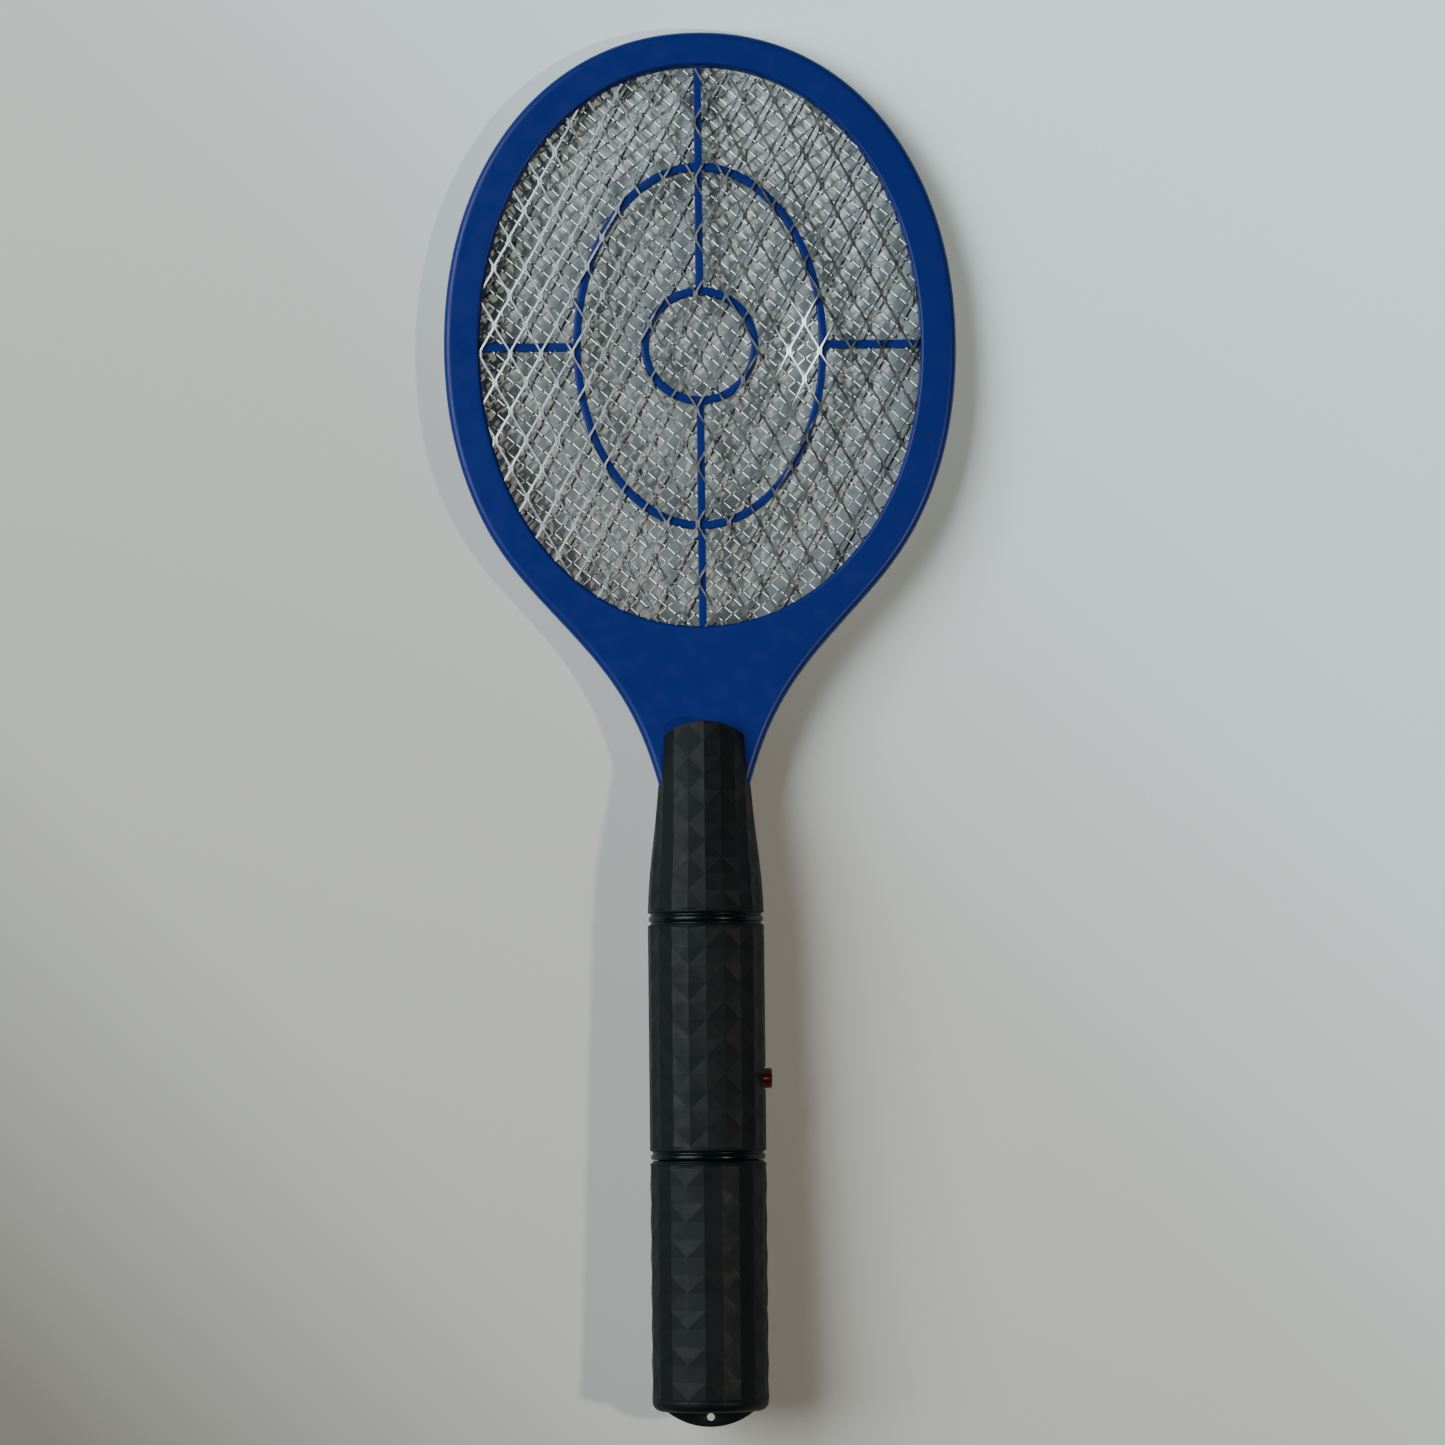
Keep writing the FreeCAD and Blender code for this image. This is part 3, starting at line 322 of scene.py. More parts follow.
class Nodes:
    """A short way to write a material's node tree."""

    def __init__(self, name):
        self.material = bpy.data.materials.new(name)
        self.material.use_nodes = True
        self.tree = self.material.node_tree
        self.shader = self.tree.nodes["Principled BSDF"]
        self.place = self.node("ShaderNodeTexCoord").outputs["Object"]

    def node(self, kind, **values):
        made = self.tree.nodes.new(kind)
        for key, value in values.items():
            setattr(made, key, value)
        return made

    def link(self, output, target):
        self.tree.links.new(output, target)

    def noise(self, scale, detail=2.0, stretch=None):
        texture = self.node("ShaderNodeTexNoise")
        texture.inputs["Scale"].default_value = scale
        texture.inputs["Detail"].default_value = detail
        source = self.place
        if stretch:
            mapping = self.node("ShaderNodeMapping")
            mapping.inputs["Scale"].default_value = stretch
            self.link(source, mapping.inputs["Vector"])
            source = mapping.outputs["Vector"]
        self.link(source, texture.inputs["Vector"])
        return texture.outputs["Fac"]

    def ramp(self, factor, stops):
        ramp = self.node("ShaderNodeValToRGB")
        while len(ramp.color_ramp.elements) < len(stops):
            ramp.color_ramp.elements.new(0.5)
        for element, (position, colour) in zip(ramp.color_ramp.elements, stops):
            element.position = position
            element.color = (*colour, 1)
        self.link(factor, ramp.inputs["Fac"])
        return ramp.outputs["Color"]

    def shade(self, factor, dark, light):
        """A base colour that wanders between two shades."""
        self.link(self.ramp(factor, [(0.3, dark), (0.7, light)]), self.shader.inputs["Base Color"])

    def between(self, factor, low, high):
        span = self.node("ShaderNodeMapRange")
        span.inputs["From Min"].default_value = 0.3
        span.inputs["From Max"].default_value = 0.7
        span.inputs["To Min"].default_value = low
        span.inputs["To Max"].default_value = high
        self.link(factor, span.inputs["Value"])
        return span.outputs["Result"]

    def combine(self, operation, first, second=None):
        """The result of a math node on an output and, if given, a number or another output."""
        step = self.node("ShaderNodeMath", operation=operation)
        self.link(first, step.inputs[0])
        if isinstance(second, float):
            step.inputs[1].default_value = second
        elif second is not None:
            self.link(second, step.inputs[1])
        return step.outputs[0]

    def along(self, axis):
        split = self.node("ShaderNodeSeparateXYZ")
        self.link(self.place, split.inputs["Vector"])
        return split.outputs[axis]

    def bump(self, height, strength, distance):
        """Relief of a depth in mm."""
        bump = self.node("ShaderNodeBump")
        bump.inputs["Strength"].default_value = strength
        bump.inputs["Distance"].default_value = distance * MM
        self.link(height, bump.inputs["Height"])
        self.link(bump.outputs["Normal"], self.shader.inputs["Normal"])

    def set(self, **values):
        for key, value in values.items():
            self.shader.inputs[key.replace("_", " ")].default_value = value


def scaled(colour, k):
    return tuple(min(1.0, c * k) for c in colour)


def plastic(name, colour, rough, grain=1500, grain_depth=0.012, spread=0.12, coat=0.0, specular=0.5):
    n = Nodes(name)
    n.shade(n.noise(45, 3.0), scaled(colour, 1 - spread), scaled(colour, 1 + spread))
    n.link(n.between(n.noise(160, 4.0), rough * 0.85, rough * 1.15), n.shader.inputs["Roughness"])
    n.bump(n.noise(grain, 3.0), 0.5, grain_depth)
    n.set(Coat_Weight=coat, Coat_Roughness=0.15, IOR=1.48, Specular_IOR_Level=specular)
    return n.material


def metal(name, colour, rough, scratch=2500, depth=0.006):
    n = Nodes(name)
    n.shade(n.noise(90, 4.0), scaled(colour, 0.82), scaled(colour, 1.08))
    n.link(n.between(n.noise(400, 4.0), rough * 0.75, rough * 1.25), n.shader.inputs["Roughness"])
    n.bump(n.noise(scratch, 2.0), 0.5, depth)
    n.set(Metallic=1.0)
    return n.material


def board_material():
    n = Nodes("phenolic_board")
    fibre = n.noise(700, 5.0, (1, 0.25, 1))
    n.shade(fibre, (0.27, 0.17, 0.06), (0.43, 0.30, 0.13))
    n.set(Roughness=0.55)
    n.bump(fibre, 0.3, 0.02)
    return n.material


def resistor_material():
    n = Nodes("banded_resistor")
    wave = n.node("ShaderNodeTexWave", wave_type="BANDS", bands_direction="Y")
    wave.inputs["Scale"].default_value = 200
    wave.inputs["Distortion"].default_value = 0.0
    n.link(n.place, wave.inputs["Vector"])
    bands = [
        (0.0, (0.52, 0.38, 0.22)), (0.72, (0.55, 0.41, 0.24)),
        (0.8, (0.30, 0.05, 0.02)), (0.95, (0.2, 0.03, 0.01)),
    ]
    n.link(n.ramp(wave.outputs["Fac"], bands), n.shader.inputs["Base Color"])
    n.set(Roughness=0.4)
    return n.material


def grip_material():
    """Black plastic: satin on the facets and smoother on the turned rings."""
    n = Nodes("black_grip")
    colour = (0.0022, 0.0040, 0.0047)
    n.shade(n.noise(60, 3.0), scaled(colour, 0.8), scaled(colour, 1.2))
    y = n.along("Y")
    away = [n.combine("ABSOLUTE", n.combine("SUBTRACT", y, ring * MM)) for ring in RING_Y]
    span = n.node("ShaderNodeMapRange")
    for key, value in (("From Min", 0.0012), ("From Max", 0.0018), ("To Min", 0.26), ("To Max", 0.52)):
        span.inputs[key].default_value = value
    n.link(n.combine("MINIMUM", *away), span.inputs["Value"])
    worn = n.combine("MULTIPLY", span.outputs["Result"], n.between(n.noise(220, 4.0), 0.88, 1.12))
    n.link(worn, n.shader.inputs["Roughness"])
    n.bump(n.noise(1400, 3.0), 0.5, 0.012)
    n.set(IOR=1.48, Specular_IOR_Level=0.15)
    return n.material


BLUE = plastic(
    "blue_abs", (0.0020, 0.0113, 0.114), 0.38, grain=900, grain_depth=0.005, spread=0.03, specular=0.2
)
GRIP = grip_material()
RED = plastic("red_button", (0.040, 0.0010, 0.002), 0.33, grain=1300, grain_depth=0.008, specular=0.15)
MESH_METAL = metal("bare_aluminium", (0.33, 0.355, 0.36), 0.30, scratch=3500, depth=0.003)
CENTRE_METAL = metal("bare_aluminium_fine", (0.26, 0.28, 0.285), 0.28, scratch=3500, depth=0.002)

SLOT_MATERIALS = {
    "blue_plastic": BLUE,
    "grip_plastic": GRIP,
    "red_plastic": RED,
    "mesh_metal": MESH_METAL,
    "screw_steel": metal("zinc_plated_steel", (0.52, 0.53, 0.55), 0.30, scratch=1800),
    "contact_metal": metal("nickel_plated_spring", (0.68, 0.66, 0.61), 0.22, scratch=1800),
    "part_plastic": plastic("moulded_epoxy", (0.022, 0.022, 0.024), 0.5, grain=2600, grain_depth=0.02),
    "board": board_material(),
    "ferrite": plastic("sintered_ferrite", (0.045, 0.045, 0.05), 0.62, grain=3200, grain_depth=0.03),
    "tape": plastic("polyester_tape", (0.62, 0.40, 0.02), 0.22, grain=500, grain_depth=0.02),
    "film_capacitor": plastic("dipped_resin", (0.30, 0.045, 0.015), 0.18, grain=260, grain_depth=0.05),
    "ceramic_blue": plastic("dipped_ceramic", (0.03, 0.13, 0.36), 0.25, grain=300, grain_depth=0.05),
    "resistor_body": resistor_material(),
    "tray_plastic": plastic("tray_moulding", (0.030, 0.030, 0.032), 0.48, grain=1500, grain_depth=0.015),
    "cell_jacket": plastic("cell_film", (0.035, 0.085, 0.05), 0.2, grain=200, grain_depth=0.01, coat=0.4),
    "lead_red": plastic("red_insulation", (0.42, 0.015, 0.012), 0.36, grain=900, grain_depth=0.02),
    "lead_black": plastic("black_insulation", (0.012, 0.012, 0.013), 0.36, grain=900, grain_depth=0.02),
}

for entry in frame["record"]["subparts"]:
    node = frame["nodes"][entry["node"]]
    node.data.materials.clear()
    node.data.materials.append(SLOT_MATERIALS[entry["material_slot"]])


# ---------------------------------------------------------------- head


def head_outline():
    """Oval, neck and tang, counterclockwise."""
    stations = 27
    sweep = 180 + 2 * JOIN_ANGLE
    angles = [-JOIN_ANGLE + sweep * i / (stations - 1) for i in range(stations)]
    oval = [superellipse(HEAD_HALF, HEAD_POWER, angle) for angle in angles]
    right = list(reversed(NECK))
    left = [(-x, y) for x, y in NECK]
    return spline(right + oval + left, 9) + TANG


def frame_half(name, side, holes):
    """One frame half: rounded rim, flat band, rounded lip round the opening, pocket behind it."""
    bm = bmesh.new()
    outline = head_outline()
    rim = [loop(bm, inset(outline, 0.12), 0.0), loop(bm, outline, side * 0.12)]
    steps = 8
    for i in range(steps + 1):
        turn = math.radians(90 * i / steps)
        depth = EDGE_RADIUS * (1 - math.cos(turn))
        height = HALF_THICKNESS - EDGE_RADIUS + EDGE_RADIUS * math.sin(turn)
        rim.append(loop(bm, inset(outline, depth), side * height))
    rim.append(loop(bm, inset(outline, EDGE_RADIUS + FLAT_MARGIN[0]), side * HALF_THICKNESS))
    skin(bm, rim)

    def lip_loop(margin, height):
        return loop(bm, closed_oval(OPENING_HALF, OPENING_POWER, BAND_COUNT, margin), side * height)

    lip = [lip_loop(INNER_EDGE_RADIUS + FLAT_MARGIN[1], HALF_THICKNESS)]
    steps = 5
    for i in range(steps + 1):
        turn = math.radians(90 * i / steps)
        margin = INNER_EDGE_RADIUS * (1 - math.sin(turn))
        height = HALF_THICKNESS - INNER_EDGE_RADIUS * (1 - math.cos(turn))
        lip.append(lip_loop(margin, height))
    under = HALF_THICKNESS - LIP
    for margin, height in ((0.0, under), (POCKET_MARGIN, under), (POCKET_MARGIN, 0.0)):
        lip.append(lip_loop(margin, height))
    skin(bm, lip)
    mouths = []
    radius, depth = SCREW_HOLE
    sizes = [(radius + SCREW_MOUTH, 0), (radius + 0.1, 0.03), (radius, 0.14), (radius, depth), (0.01, depth)]
    for hole in holes:
        well = [loop(bm, circle(hole, r, 24), side * (HALF_THICKNESS - d)) for r, d in sizes]
        skin(bm, well)
        bm.faces.new(well[-1])
        mouths.append(well[0])
    # Open fault: with the wells' mouths this fill leaves gaps in the rear half.
    fill(bm, [rim[-1], lip[0]] + mouths)
    fill(bm, [rim[0], lip[-1]])
    return finished(bm, name)


screw_places = [superellipse(OPENING_HALF, OPENING_POWER, a, SCREW_MARGIN) for a in SCREW_ANGLES]
dress(frame_half("front_head_frame", 1, []), BLUE, "racket", "blue_plastic", "front_frame")
dress(frame_half("rear_head_frame", -1, screw_places), BLUE, "racket", "blue_plastic", "rear_frame")


def arc_points(half, power, start, end, steps, margin=0.0):
    """Part of an oval, from one angle to another."""
    return [superellipse(half, power, start + (end - start) * i / steps, margin) for i in range(steps + 1)]


def angle_at(half, power, margin, axis, value):
    """The angle in the first quadrant where the oval's x (axis 0) or y (axis 1) is value."""
    low, high = 0.0, 90.0
    for _ in range(50):
        middle = (low + high) / 2
        x, y = superellipse(half, power, middle, margin, 0.0)
        beyond = x > value if axis == 0 else y < value
        low, high = (middle, high) if beyond else (low, middle)
    return (low + high) / 2


def quadrant_hole():
    """The window between rim and oval ring in the first quadrant, counterclockwise."""
    half = RIB / 2
    rim = (OPENING_HALF, OPENING_POWER, -0.3)
    ring = (OVAL_RING, 2, 0.0)
    outer = arc_points(*rim[:2], angle_at(*rim, 1, half), angle_at(*rim, 0, half), 30, rim[2])
    inner = arc_points(*ring[:2], angle_at(*ring, 0, half), angle_at(*ring, 1, half), 24)
    return outer + inner


def half_hole():
    """The window between oval ring and small ring on the +X side, counterclockwise."""
    half = RIB / 2
    ring = ((OVAL_RING[0] - RIB, OVAL_RING[1] - RIB), 2, 0.0)
    small = ((SMALL_RING, SMALL_RING), 2, 0.0)
    far = angle_at(*ring, 0, half)
    near = angle_at(*small, 0, half)
    return arc_points(*ring[:2], -far, far, 48) + arc_points(*small[:2], near, -near, 30)


def mirrored(points, flip_x, flip_y):
    turned = [(-x if flip_x else x, 2 * HEAD_CENTRE_Y - y if flip_y else y) for x, y in points]
    return turned[::-1] if flip_x != flip_y else turned


def spacer_grille(name, side):
    """Rim, oval ring, small ring and spokes as one plate with softened edges."""
    windows = [mirrored(quadrant_hole(), fx, fy) for fx in (False, True) for fy in (False, True)]
    windows += [half_hole(), mirrored(half_hole(), True, False)]
    windows.append(closed_oval((SMALL_RING - RIB, SMALL_RING - RIB), 2, 60))
    soft = GRILLE_EDGE
    low, high = GRILLE_Z
    levels = [(soft, low), (0, low + soft), (0, high - soft), (soft * 0.3, high - soft * 0.3), (soft, high)]
    outside = closed_oval(OPENING_HALF, OPENING_POWER, BAND_COUNT, GRILLE_RIM)
    return plate(name, outside, windows, [(cut, side * z) for cut, z in levels])


dress(spacer_grille("front_grille", 1), BLUE, "racket", "blue_plastic", "front_spacer_grille")
dress(spacer_grille("rear_grille", -1), BLUE, "racket", "blue_plastic", "rear_spacer_grille")


def on_mesh(x, y):
    return abs(x / MESH_HALF[0]) ** MESH_POWER + abs((y - MESH_CENTRE_Y) / MESH_HALF[1]) ** MESH_POWER < 1


def clipped(points):
    """The runs of a line that lie inside the meshes' oval."""
    runs = []
    run = []
    for a, b in zip(points, points[1:]):
        a_in = on_mesh(*a)
        b_in = on_mesh(*b)
        if a_in and not run:
            run = [a]
        if a_in and b_in:
            run.append(b)
        elif a_in != b_in:
            low, high = 0.0, 1.0
            for _ in range(20):
                middle = (low + high) / 2
                x, y = a[0] + (b[0] - a[0]) * middle, a[1] + (b[1] - a[1]) * middle
                if on_mesh(x, y) == a_in:
                    low = middle
                else:
                    high = middle
            cut = (a[0] + (b[0] - a[0]) * low, a[1] + (b[1] - a[1]) * low)
            if a_in:
                runs.append(run + [cut])
                run = []
            else:
                run = [cut, b]
    if len(run) > 1:
        runs.append(run)
    return [r for r in runs if math.dist(r[0], r[-1]) > SHORTEST_STRAND]


def strand_corners(strand, degrees):
    """The corners of a strand's section, as (across, up), with the section leaning by degrees."""
    cosine = math.cos(math.radians(degrees))
    sine = math.sin(math.radians(degrees))
    corners = []
    for u, v in ((-1, -1), (1, -1), (1, 1), (-1, 1)):
        across = u * strand[0] / 2
        up = v * strand[1] / 2
        corners.append((across * cosine - up * sine, across * sine + up * cosine))
    return corners


def expanded_metal(
    name, along_y, long_pitch, band_pitch, origin, strand, bond, lean_at, z, wander, weave_at=None
):
    """Slit and stretched sheet: zigzag bands that lie side by side at their bonds.

    lean_at gives the strands' lean in degrees at (x, y); weave_at gives how far they rise and fall there.
    """
    bm = bmesh.new()
    swing = (band_pitch - strand[0]) / 2
    reach_across, reach_along = MESH_HALF if along_y else MESH_HALF[::-1]
    centre_across, centre_along = (0.0, MESH_CENTRE_Y) if along_y else (MESH_CENTRE_Y, 0.0)
    first = math.floor((centre_across - reach_across - origin[0]) / band_pitch)
    last = math.ceil((centre_across + reach_across - origin[0]) / band_pitch)
    start = math.floor((centre_along - reach_along - origin[1]) / long_pitch) - 1
    end = math.ceil((centre_along + reach_along - origin[1]) / long_pitch) + 1
    for band in range(first, last):
        middle = origin[0] + (band + 0.5) * band_pitch
        towards = -1 if band % 2 == 0 else 1
        line = []
        for step in range(2 * start, 2 * end):
            t = origin[1] + step * long_pitch / 2
            lean = towards * (1 if step % 2 == 0 else -1)
            drift = wander * (random.random() - 0.5)
            for end_t in (t - bond / 2, t + bond / 2):
                s = middle + lean * swing + drift
                line.append((s, end_t) if along_y else (end_t, s))
        for run in clipped(line):
            rings = []
            for x, y in run:
                height = z
                if weave_at:
                    height -= weave_at(x, y) * (y - middle) / swing
                ring = []
                for across, up in strand_corners(strand, lean_at(x, y)):
                    px, py = (x + across, y) if along_y else (x, y + across)
                    ring.append(bm.verts.new(place(px, py, height + up)))
                rings.append(ring)
            capped(bm, rings)
    return finished(bm, name, smooth=False)


def dented(x, y):
    """1 inside the shallow dent in the sheets, falling to 0 round it."""
    away = ((x - DENT[0]) / DENT_HALF[0]) ** 2 + ((y - DENT[1]) / DENT_HALF[1]) ** 2
    return math.exp(-away ** 2)


def front_lean(x, y):
    """The front sheet bows a little from left to right, and the dent turns its strands to the window."""
    dent = dented(x, y)
    return (4.0 - 6.0 * x / MESH_HALF[0]) * (1 - dent) + 19.0 * dent


def centre_lean(x, y):
    return 2.0 + 8.0 * dented(x, y)


def centre_weave(x, y):
    return 0.33 - 0.13 * dented(x, y)


COARSE = dict(along_y=True, long_pitch=18.4, band_pitch=4.95, bond=2.0, wander=0.18)
mesh_front = expanded_metal(
    "front_expanded_mesh", origin=(-60.6, 119.8), strand=(0.72, 0.85), lean_at=front_lean,
    z=GRILLE_TOP_Z + 0.45, **COARSE
)
mesh_rear = expanded_metal(
    "rear_expanded_mesh", origin=(-59.4, 118.2), strand=(0.80, 1.05), lean_at=lambda x, y: -8.0,
    z=-GRILLE_TOP_Z - 0.55, **COARSE
)
mesh_centre = expanded_metal(
    "centre_expanded_mesh", along_y=False, long_pitch=6.0, band_pitch=2.4, origin=(120.0, 0.7),
    strand=(0.28, 1.00), bond=0.7, lean_at=centre_lean, z=0.0, wander=0.06, weave_at=centre_weave
)
dress(mesh_front, MESH_METAL, "racket", "mesh_metal", "front_mesh")
dress(mesh_rear, MESH_METAL, "racket", "mesh_metal", "rear_mesh")
dress(mesh_centre, CENTRE_METAL, "racket", "mesh_metal", "centre_mesh")


# ---------------------------------------------------------------- handle


def on_handle(radius, degrees, y):
    """A point round the handle's axis, with the angle from the top towards +X."""
    turn = math.radians(degrees)
    return place(radius * math.sin(turn), y, radius * math.cos(turn))


def tube(name, rows, inner, wrap):
    """A closed tube wall from rows of outer (radius, degrees, y) points. inner is the bore's radius by row.

    wrap joins the last column to the first. The outer faces are split so that every other corner can stand out.
    """
    bm = bmesh.new()
    outer = [[bm.verts.new(on_handle(*point)) for point in row] for row in rows]
    bore = [[bm.verts.new(on_handle(inner[j], p[1], p[2])) for p in row] for j, row in enumerate(rows)]
    columns = len(rows[0])
    last = columns if wrap else columns - 1

    def face(*verts):
        distinct = []
        for v in verts:
            if not any((v.co - d.co).length < 1e-7 for d in distinct):
                distinct.append(v)
        if len(distinct) > 2:
            bm.faces.new(distinct)

    for j in range(len(rows) - 1):
        for i in range(last):
            k = (i + 1) % columns
            a, b, c, d = outer[j][i], outer[j][k], outer[j + 1][k], outer[j + 1][i]
            if (i + j) % 2 == 1:
                face(a, b, c)
                face(a, c, d)
            else:
                face(a, b, d)
                face(b, c, d)
            face(bore[j][i], bore[j][k], bore[j + 1][k], bore[j + 1][i])
    for j in (0, len(rows) - 1):
        for i in range(last):
            k = (i + 1) % columns
            face(outer[j][i], outer[j][k], bore[j][k], bore[j][i])
    if not wrap:
        for i in (0, columns - 1):
            for j in range(len(rows) - 1):
                face(outer[j][i], outer[j + 1][i], bore[j + 1][i], bore[j][i])
    return finished(bm, name, smooth=False)


def taper_radius(y):
    """The grip's radius over its tapered part."""
    line = spline(TAPER, 12)
    for (r0, y0), (r1, y1) in zip(line, line[1:]):
        if y0 >= y >= y1:
            return r0 + (r1 - r0) * (y0 - y) / (y0 - y1)
    return line[0][0] if y > line[0][1] else line[-1][0]


def relief_rows(y_start, y_end, pitch, columns, radius_at, spread_at, low, high, phase):
    """Rows of a faceted grip, its ends plain. Even points stand out and odd ones lie back."""

    def plain(y):
        return [(radius_at(y), min(high, max(low, phase + c * spread_at(y))), y) for c in columns]

    count = max(2, round((y_start - y_end) / pitch))
    rows = [plain(y_start)]
    margin = 0.9
    for j in range(count + 1):
        y = y_start - margin - (y_start - y_end - 2 * margin) * j / count
        row = []
        for c in columns:
            lift = 0.5 if (c + j) % 2 == 0 else -0.5
            degrees = phase + c * spread_at(y)
            if degrees < low or degrees > high:
                lift = 0.0
                degrees = min(high, max(low, degrees))
            row.append((radius_at(y) + lift * RELIEF, degrees, y))
        rows.append(row)
    rows.append(plain(y_end))
    return rows


def turned(name, profile, low, high, segments, wrap=False):
    """A closed piece turned about the handle's axis from (radius, y) corners."""
    bm = bmesh.new()
    count = segments if wrap else segments + 1
    sections = []
    for i in range(count):
        degrees = low + (high - low) * i / segments
        sections.append([bm.verts.new(on_handle(max(r, 0.001), degrees, y)) for r, y in profile])
    for i in range(segments):
        a, b = sections[i], sections[(i + 1) % count]
        for j in range(len(profile)):
            k = (j + 1) % len(profile)
            bm.faces.new((a[j], a[k], b[k], b[j]))
    if not wrap:
        bm.faces.new(sections[0])
        bm.faces.new(sections[-1])
    return finished(bm, name)


def ring_profile(y):
    """Groove, bead, groove, with rounded corners, the same above and below y."""
    r = HANDLE_RADIUS
    half = [
        (r, RING_HALF), (r, 2.15), (r - 0.12, 1.98), (r - 0.75, 1.75), (r - 0.9, 1.5),
        (r - 0.9, 1.2), (r - 0.72, 0.95), (r - 0.42, 0.72), (r - 0.28, 0.4),
    ]
    above = [(radius, y + up) for radius, up in half]
    below = [(radius, y - up) for radius, up in reversed(half)]
    return above + [(r - 0.24, y)] + below + [(BORE, y - RING_HALF), (BORE, y + RING_HALF)]


def cut_by(obj, cutter):
    """The piece without the cutter's volume."""
    boolean = obj.modifiers.new("cut", "BOOLEAN")
    boolean.operation = "DIFFERENCE"
    boolean.solver = "EXACT"
    boolean.object = cutter
    applied(obj)
    bpy.data.objects.remove(cutter)
    return obj


def side_oval(bm, x, half, count):
    """An upright oval round the button's axis."""
    turns = [math.tau * k / count for k in range(count)]
    oval = [(half[0] * math.cos(turn), half[1] * math.sin(turn)) for turn in turns]
    return [bm.verts.new(place(x, BUTTON_Y + y, z)) for y, z in oval]


def button_well():
    """The oval bar that makes room for the push button."""
    bm = bmesh.new()
    capped(bm, [side_oval(bm, x, BUTTON_WELL, 48) for x in (10.0, 24.0)])
    return finished(bm, "button_well")


def end_arc_cutter():
    """Everything in front of the arc that ends the grip over the neck."""
    bm = bmesh.new()
    centre = HANDLE_TOP_Y - TOP_ARC
    turns = [math.radians(a) for a in range(-60, 61, 2)]
    arc = [(TOP_ARC * math.sin(turn), centre + TOP_ARC * math.cos(turn)) for turn in turns]
    beyond = 30.0
    points = arc + [(beyond, 20.0), (-beyond, 20.0)]
    capped(bm, [loop(bm, points, -beyond), loop(bm, points, beyond)])
    return finished(bm, "end_arc")


def grip_shell(name, side):
    """One half of the grip above the battery sleeve."""
    low, high = (-90 + SEAM, 90 - SEAM) if side > 0 else (90 + SEAM, 270 - SEAM)
    centre = 0.0 if side > 0 else 180.0
    columns = list(range(-5, 6))

    def taper_spread(y):
        """Columns keep their distance across the narrow part of the taper."""
        return FACET_ANGLE * max(1.0, min(1.28, HANDLE_RADIUS * 0.92 / taper_radius(y)))

    top_rows = relief_rows(
        HANDLE_TOP_Y, RING_Y[0] + RING_HALF - RING_OVERLAP, TAPER_PITCH, columns, taper_radius, taper_spread,
        low, high, centre
    )
    solid_above = -4
    inner = [max(6.0, row[0][0] - WALL) if row[0][2] < solid_above else 0.5 for row in top_rows]
    taper = tube("taper", top_rows, inner, False)
    cut_by(taper, end_arc_cutter())
    rows = relief_rows(
        RING_Y[0] - RING_HALF + RING_OVERLAP, RING_Y[1] + RING_HALF - RING_OVERLAP, FACET_PITCH, columns,
        lambda y: HANDLE_RADIUS, lambda y: FACET_ANGLE, low, high, centre
    )
    body = tube("middle", rows, [BORE] * len(rows), False)
    cut_by(body, button_well())
    ring = turned("ring", ring_profile(RING_Y[0]), low, high, 60)
    y = RING_Y[1]
    lower = [point for point in ring_profile(y) if point[1] > y - 0.7][:-1]
    outer, bore, end = SPIGOT
    spigot = [(HANDLE_RADIUS - 0.45, y - 0.8), (outer, y - 0.8), (outer, end + 0.4), (outer - 0.4, end)]
    foot = turned("foot", lower + spigot + [(bore, end), (bore, y + RING_HALF)], low, high, 60)
    for part in (taper, body):
        applied(soften(part, FACET_EDGE, 1, 2))
    return joined(name, [taper, body, ring, foot])


dress(grip_shell("grip_front", 1), GRIP, "racket", "grip_plastic", "handle_front_shell")
dress(grip_shell("grip_rear", -1), GRIP, "racket", "grip_plastic", "handle_rear_shell")


def sleeve():
    """The battery sleeve: plain mouth ring, faceted tube, rounded end and hanging tab."""
    r = HANDLE_RADIUS
    bore = SLEEVE_BORE
    y = RING_Y[1]
    mouth = turned("mouth", [
        (bore, SLEEVE_TOP_Y), (r - 0.9, SLEEVE_TOP_Y), (r - 0.86, y - 1.5), (r - 0.75, y - 1.75),
        (r - 0.12, y - 1.98), (r, y - 2.15), (r, y - RING_HALF), (bore, y - RING_HALF),
    ], 0, 360, 120, True)
    end_y = TAB_END_Y + TAB_DEPTH
    corner = 3.0
    no_limit = 400
    rows = relief_rows(
        y - RING_HALF + RING_OVERLAP, end_y + corner, FACET_PITCH, list(range(20)), lambda y: r,
        lambda y: FACET_ANGLE, -no_limit, no_limit, -4.3
    )
    wall = applied(soften(tube("wall", rows, [bore] * len(rows), True), FACET_EDGE, 1, 2))
    rounded = [
        (r - corner * (1 - math.cos(math.radians(a))), end_y + corner * (1 - math.sin(math.radians(a))))
        for a in range(0, 91, 10)
    ]
    end = turned("end", [(bore, end_y + 4.0), (r, end_y + 4.0)] + rounded
                 + [(0, end_y), (0, end_y + 2.7), (bore, end_y + 2.7)], 0, 360, 120, True)
    tab = hanging_tab(end_y)
    return joined("sleeve_shell", [mouth, wall, end, tab])


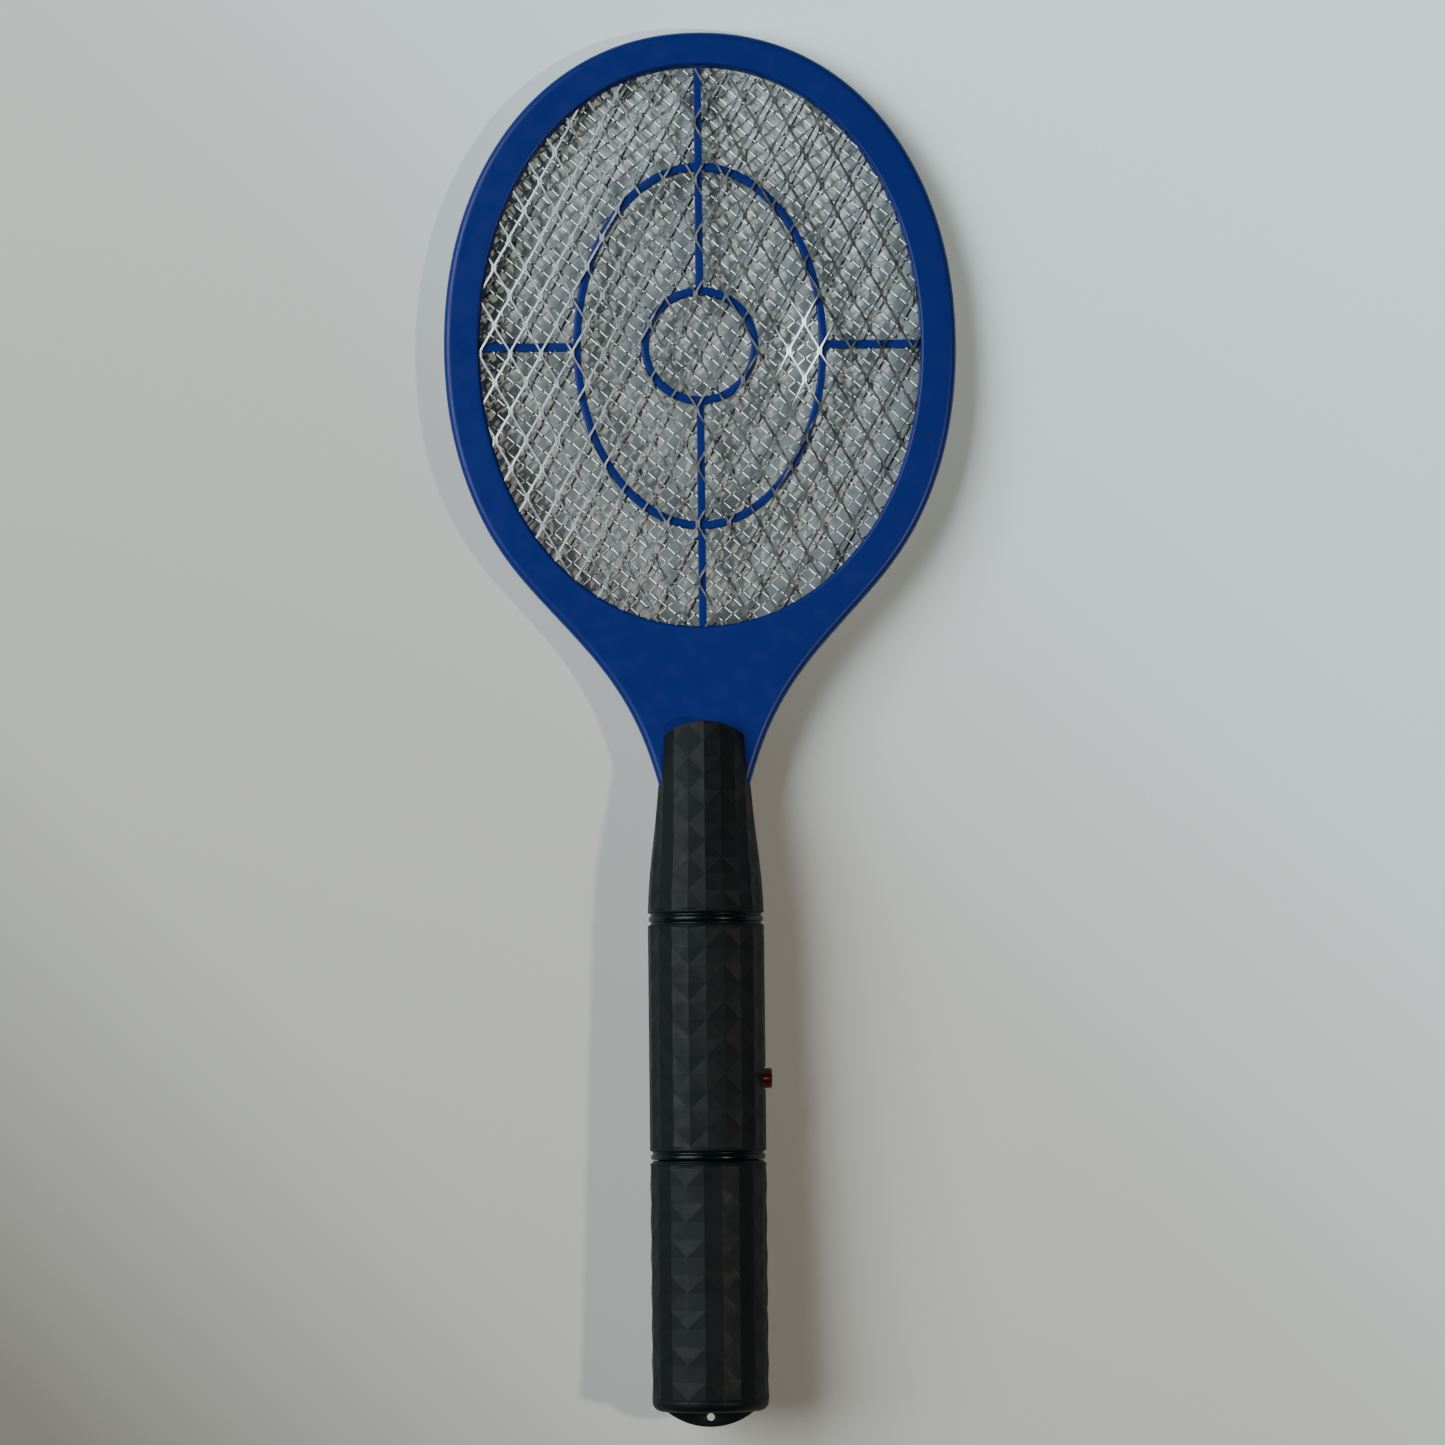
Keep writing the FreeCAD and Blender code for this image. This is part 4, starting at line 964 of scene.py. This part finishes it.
def hanging_tab(end_y):
    """A flat segment with rounded edges and a round hole, reaching 1 mm into the handle's end."""
    centre = TAB_END_Y + TAB_RADIUS
    reach = math.degrees(math.acos((centre - end_y - 1.0) / TAB_RADIUS))
    turns = [math.radians(-reach + 2 * reach * i / 40) for i in range(41)]
    outline = [(TAB_RADIUS * math.sin(turn), centre - TAB_RADIUS * math.cos(turn)) for turn in turns]
    hole = circle((0, TAB_END_Y + TAB_HOLE[1]), TAB_HOLE[0], 32)
    half = TAB_THICKNESS / 2
    rounding = [(TAB_EDGE, half), (0.13, half - 0.13), (0, half - TAB_EDGE)]
    levels = [(cut, -z) for cut, z in rounding] + rounding[::-1]
    return plate("tab", outline, [hole], levels, 0.6)


dress(sleeve(), GRIP, "sleeve", "grip_plastic", "battery_sleeve")


def push_button():
    """An oval cap with a flange behind it, a rounded rim and a slightly raised face."""
    bm = bmesh.new()
    behind, front = BUTTON_FLANGE_X
    steps = [(behind, BUTTON_FLANGE), (front, BUTTON_FLANGE), (front, BUTTON_HALF)]
    rounding = [
        (0.75, BUTTON_HALF), (0.62, (3.16, 5.71)), (0.28, (2.9, 5.45)), (0.18, (2.68, 5.2)),
        (0.12, (2.2, 4.7)), (0.05, (1.3, 3.3)), (0, (0.4, 1.0)),
    ]
    steps += [(BUTTON_FACE_X - back, half) for back, half in rounding]
    capped(bm, [side_oval(bm, x, half, 64) for x, half in steps])
    return finished(bm, "push_button")


dress(push_button(), RED, "button", "red_plastic", "button_cap")


# ---------------------------------------------------------------- stage, light and camera

# The racket lies on the underside of its handle, at CONTACT_Y, and on the tip of its head.
CONTACT_Y = -64.3
TILT = math.atan2(MID - HALF_THICKNESS, HEAD_TOP_Y - CONTACT_Y)
NORMAL = Vector((0, -math.sin(TILT), math.cos(TILT)))
UP = Vector((0, math.cos(TILT), math.sin(TILT)))
RIGHT = Vector((1, 0, 0))
CONTACT = Vector((0, CONTACT_Y * MM, 0))
FLOOR_SIZE = 8.0
# Painted light falloff: the floor's colour is darker and warmer at the lower left and paler at the upper right.
FLOOR_PAINTED_FALLOFF = [
    (0.0, (0.150, 0.147, 0.118)), (0.24, (0.44, 0.445, 0.41)), (0.5, (0.50, 0.51, 0.485)),
    (0.76, (0.70, 0.82, 0.83)), (1.0, (0.78, 0.92, 0.97)),
]
FLOOR_SLOPE = 1.1
FLOOR_REACH = 0.46


def on_floor(x, y, height):
    """A point over the floor: x and y along it from the contact point, in metres."""
    return CONTACT + RIGHT * x + UP * y + NORMAL * height


def floor():
    """A plain sheet with painted light falloff: its colour rises from dark at the lower left to bright at the
    upper right.
    """
    bm = bmesh.new()
    cells = 8
    steps = [FLOOR_SIZE * (i / cells - 0.5) for i in range(cells + 1)]
    grid = [[bm.verts.new(on_floor(x, y, 0)) for x in steps] for y in steps]
    for j in range(cells):
        for i in range(cells):
            bm.faces.new((grid[j][i], grid[j][i + 1], grid[j + 1][i + 1], grid[j + 1][i]))
    obj = finished(bm, "floor")
    n = Nodes("pale_floor_painted_falloff")
    slope = n.combine("ADD", n.combine("MULTIPLY", n.along("X"), FLOOR_SLOPE), n.along("Y"))
    span = n.node("ShaderNodeMapRange")
    span.inputs["From Min"].default_value = -FLOOR_REACH
    span.inputs["From Max"].default_value = FLOOR_REACH
    n.link(slope, span.inputs["Value"])
    n.link(n.ramp(span.outputs["Result"], FLOOR_PAINTED_FALLOFF), n.shader.inputs["Base Color"])
    n.set(Roughness=0.75)
    n.bump(n.noise(250, 4.0), 0.1, 0.05)
    obj.data.materials.append(n.material)


floor()


LIT_Y = 0.06
WINDOW_DISTANCE = 2.4
WINDOW_TURN = math.radians(18)
WINDOW_RISE = math.radians(44)


def light(name, position, size, power, colour):
    """An area light aimed at the racket: a disk of one size, or a rectangle of two."""
    data = bpy.data.lights.new(name, "AREA")
    if isinstance(size, float):
        data.shape = "DISK"
        data.size = size
    else:
        data.shape = "RECTANGLE"
        data.size, data.size_y = size
    data.energy = power
    data.color = colour
    obj = bpy.data.objects.new(name, data)
    bpy.context.scene.collection.objects.link(obj)
    obj.location = position
    obj.rotation_euler = (on_floor(0, LIT_Y, 0) - position).to_track_quat("-Z", "Y").to_euler()


light("key", on_floor(1.10, -0.16, 1.55), 0.10, 16.0, (1.0, 0.92, 0.80))
window_ground = WINDOW_DISTANCE * math.cos(WINDOW_RISE)
window_place = on_floor(
    -window_ground * math.cos(WINDOW_TURN), LIT_Y + window_ground * math.sin(WINDOW_TURN),
    WINDOW_DISTANCE * math.sin(WINDOW_RISE)
)
light("window", window_place, (2.0, 1.6), 101, (0.89, 0.95, 0.99))

world = bpy.data.worlds.new("studio")
bpy.context.scene.world = world
world.use_nodes = True
background = world.node_tree.nodes["Background"]
background.inputs["Color"].default_value = (0.86, 0.92, 1.0, 1)
background.inputs["Strength"].default_value = 0.006

# The camera looks straight down on the floor.
DISTANCE = 2.2
VIEW_WIDTH = 0.461
SENSOR = 36
ROLL = math.radians(0.6)
aim = place(5.97, 1.3, 0)
camera_data = bpy.data.cameras.new("camera")
camera_data.sensor_width = SENSOR
camera_data.lens = SENSOR * DISTANCE / VIEW_WIDTH
camera_data.clip_end = 20
camera = bpy.data.objects.new("camera", camera_data)
bpy.context.scene.collection.objects.link(camera)
camera_up = UP * math.cos(ROLL) + RIGHT * math.sin(ROLL)
camera_right = RIGHT * math.cos(ROLL) - UP * math.sin(ROLL)
axes = Matrix((camera_right, camera_up, NORMAL)).transposed()
camera.matrix_world = Matrix.Translation(aim + NORMAL * DISTANCE) @ axes.to_4x4()
bpy.context.scene.camera = camera
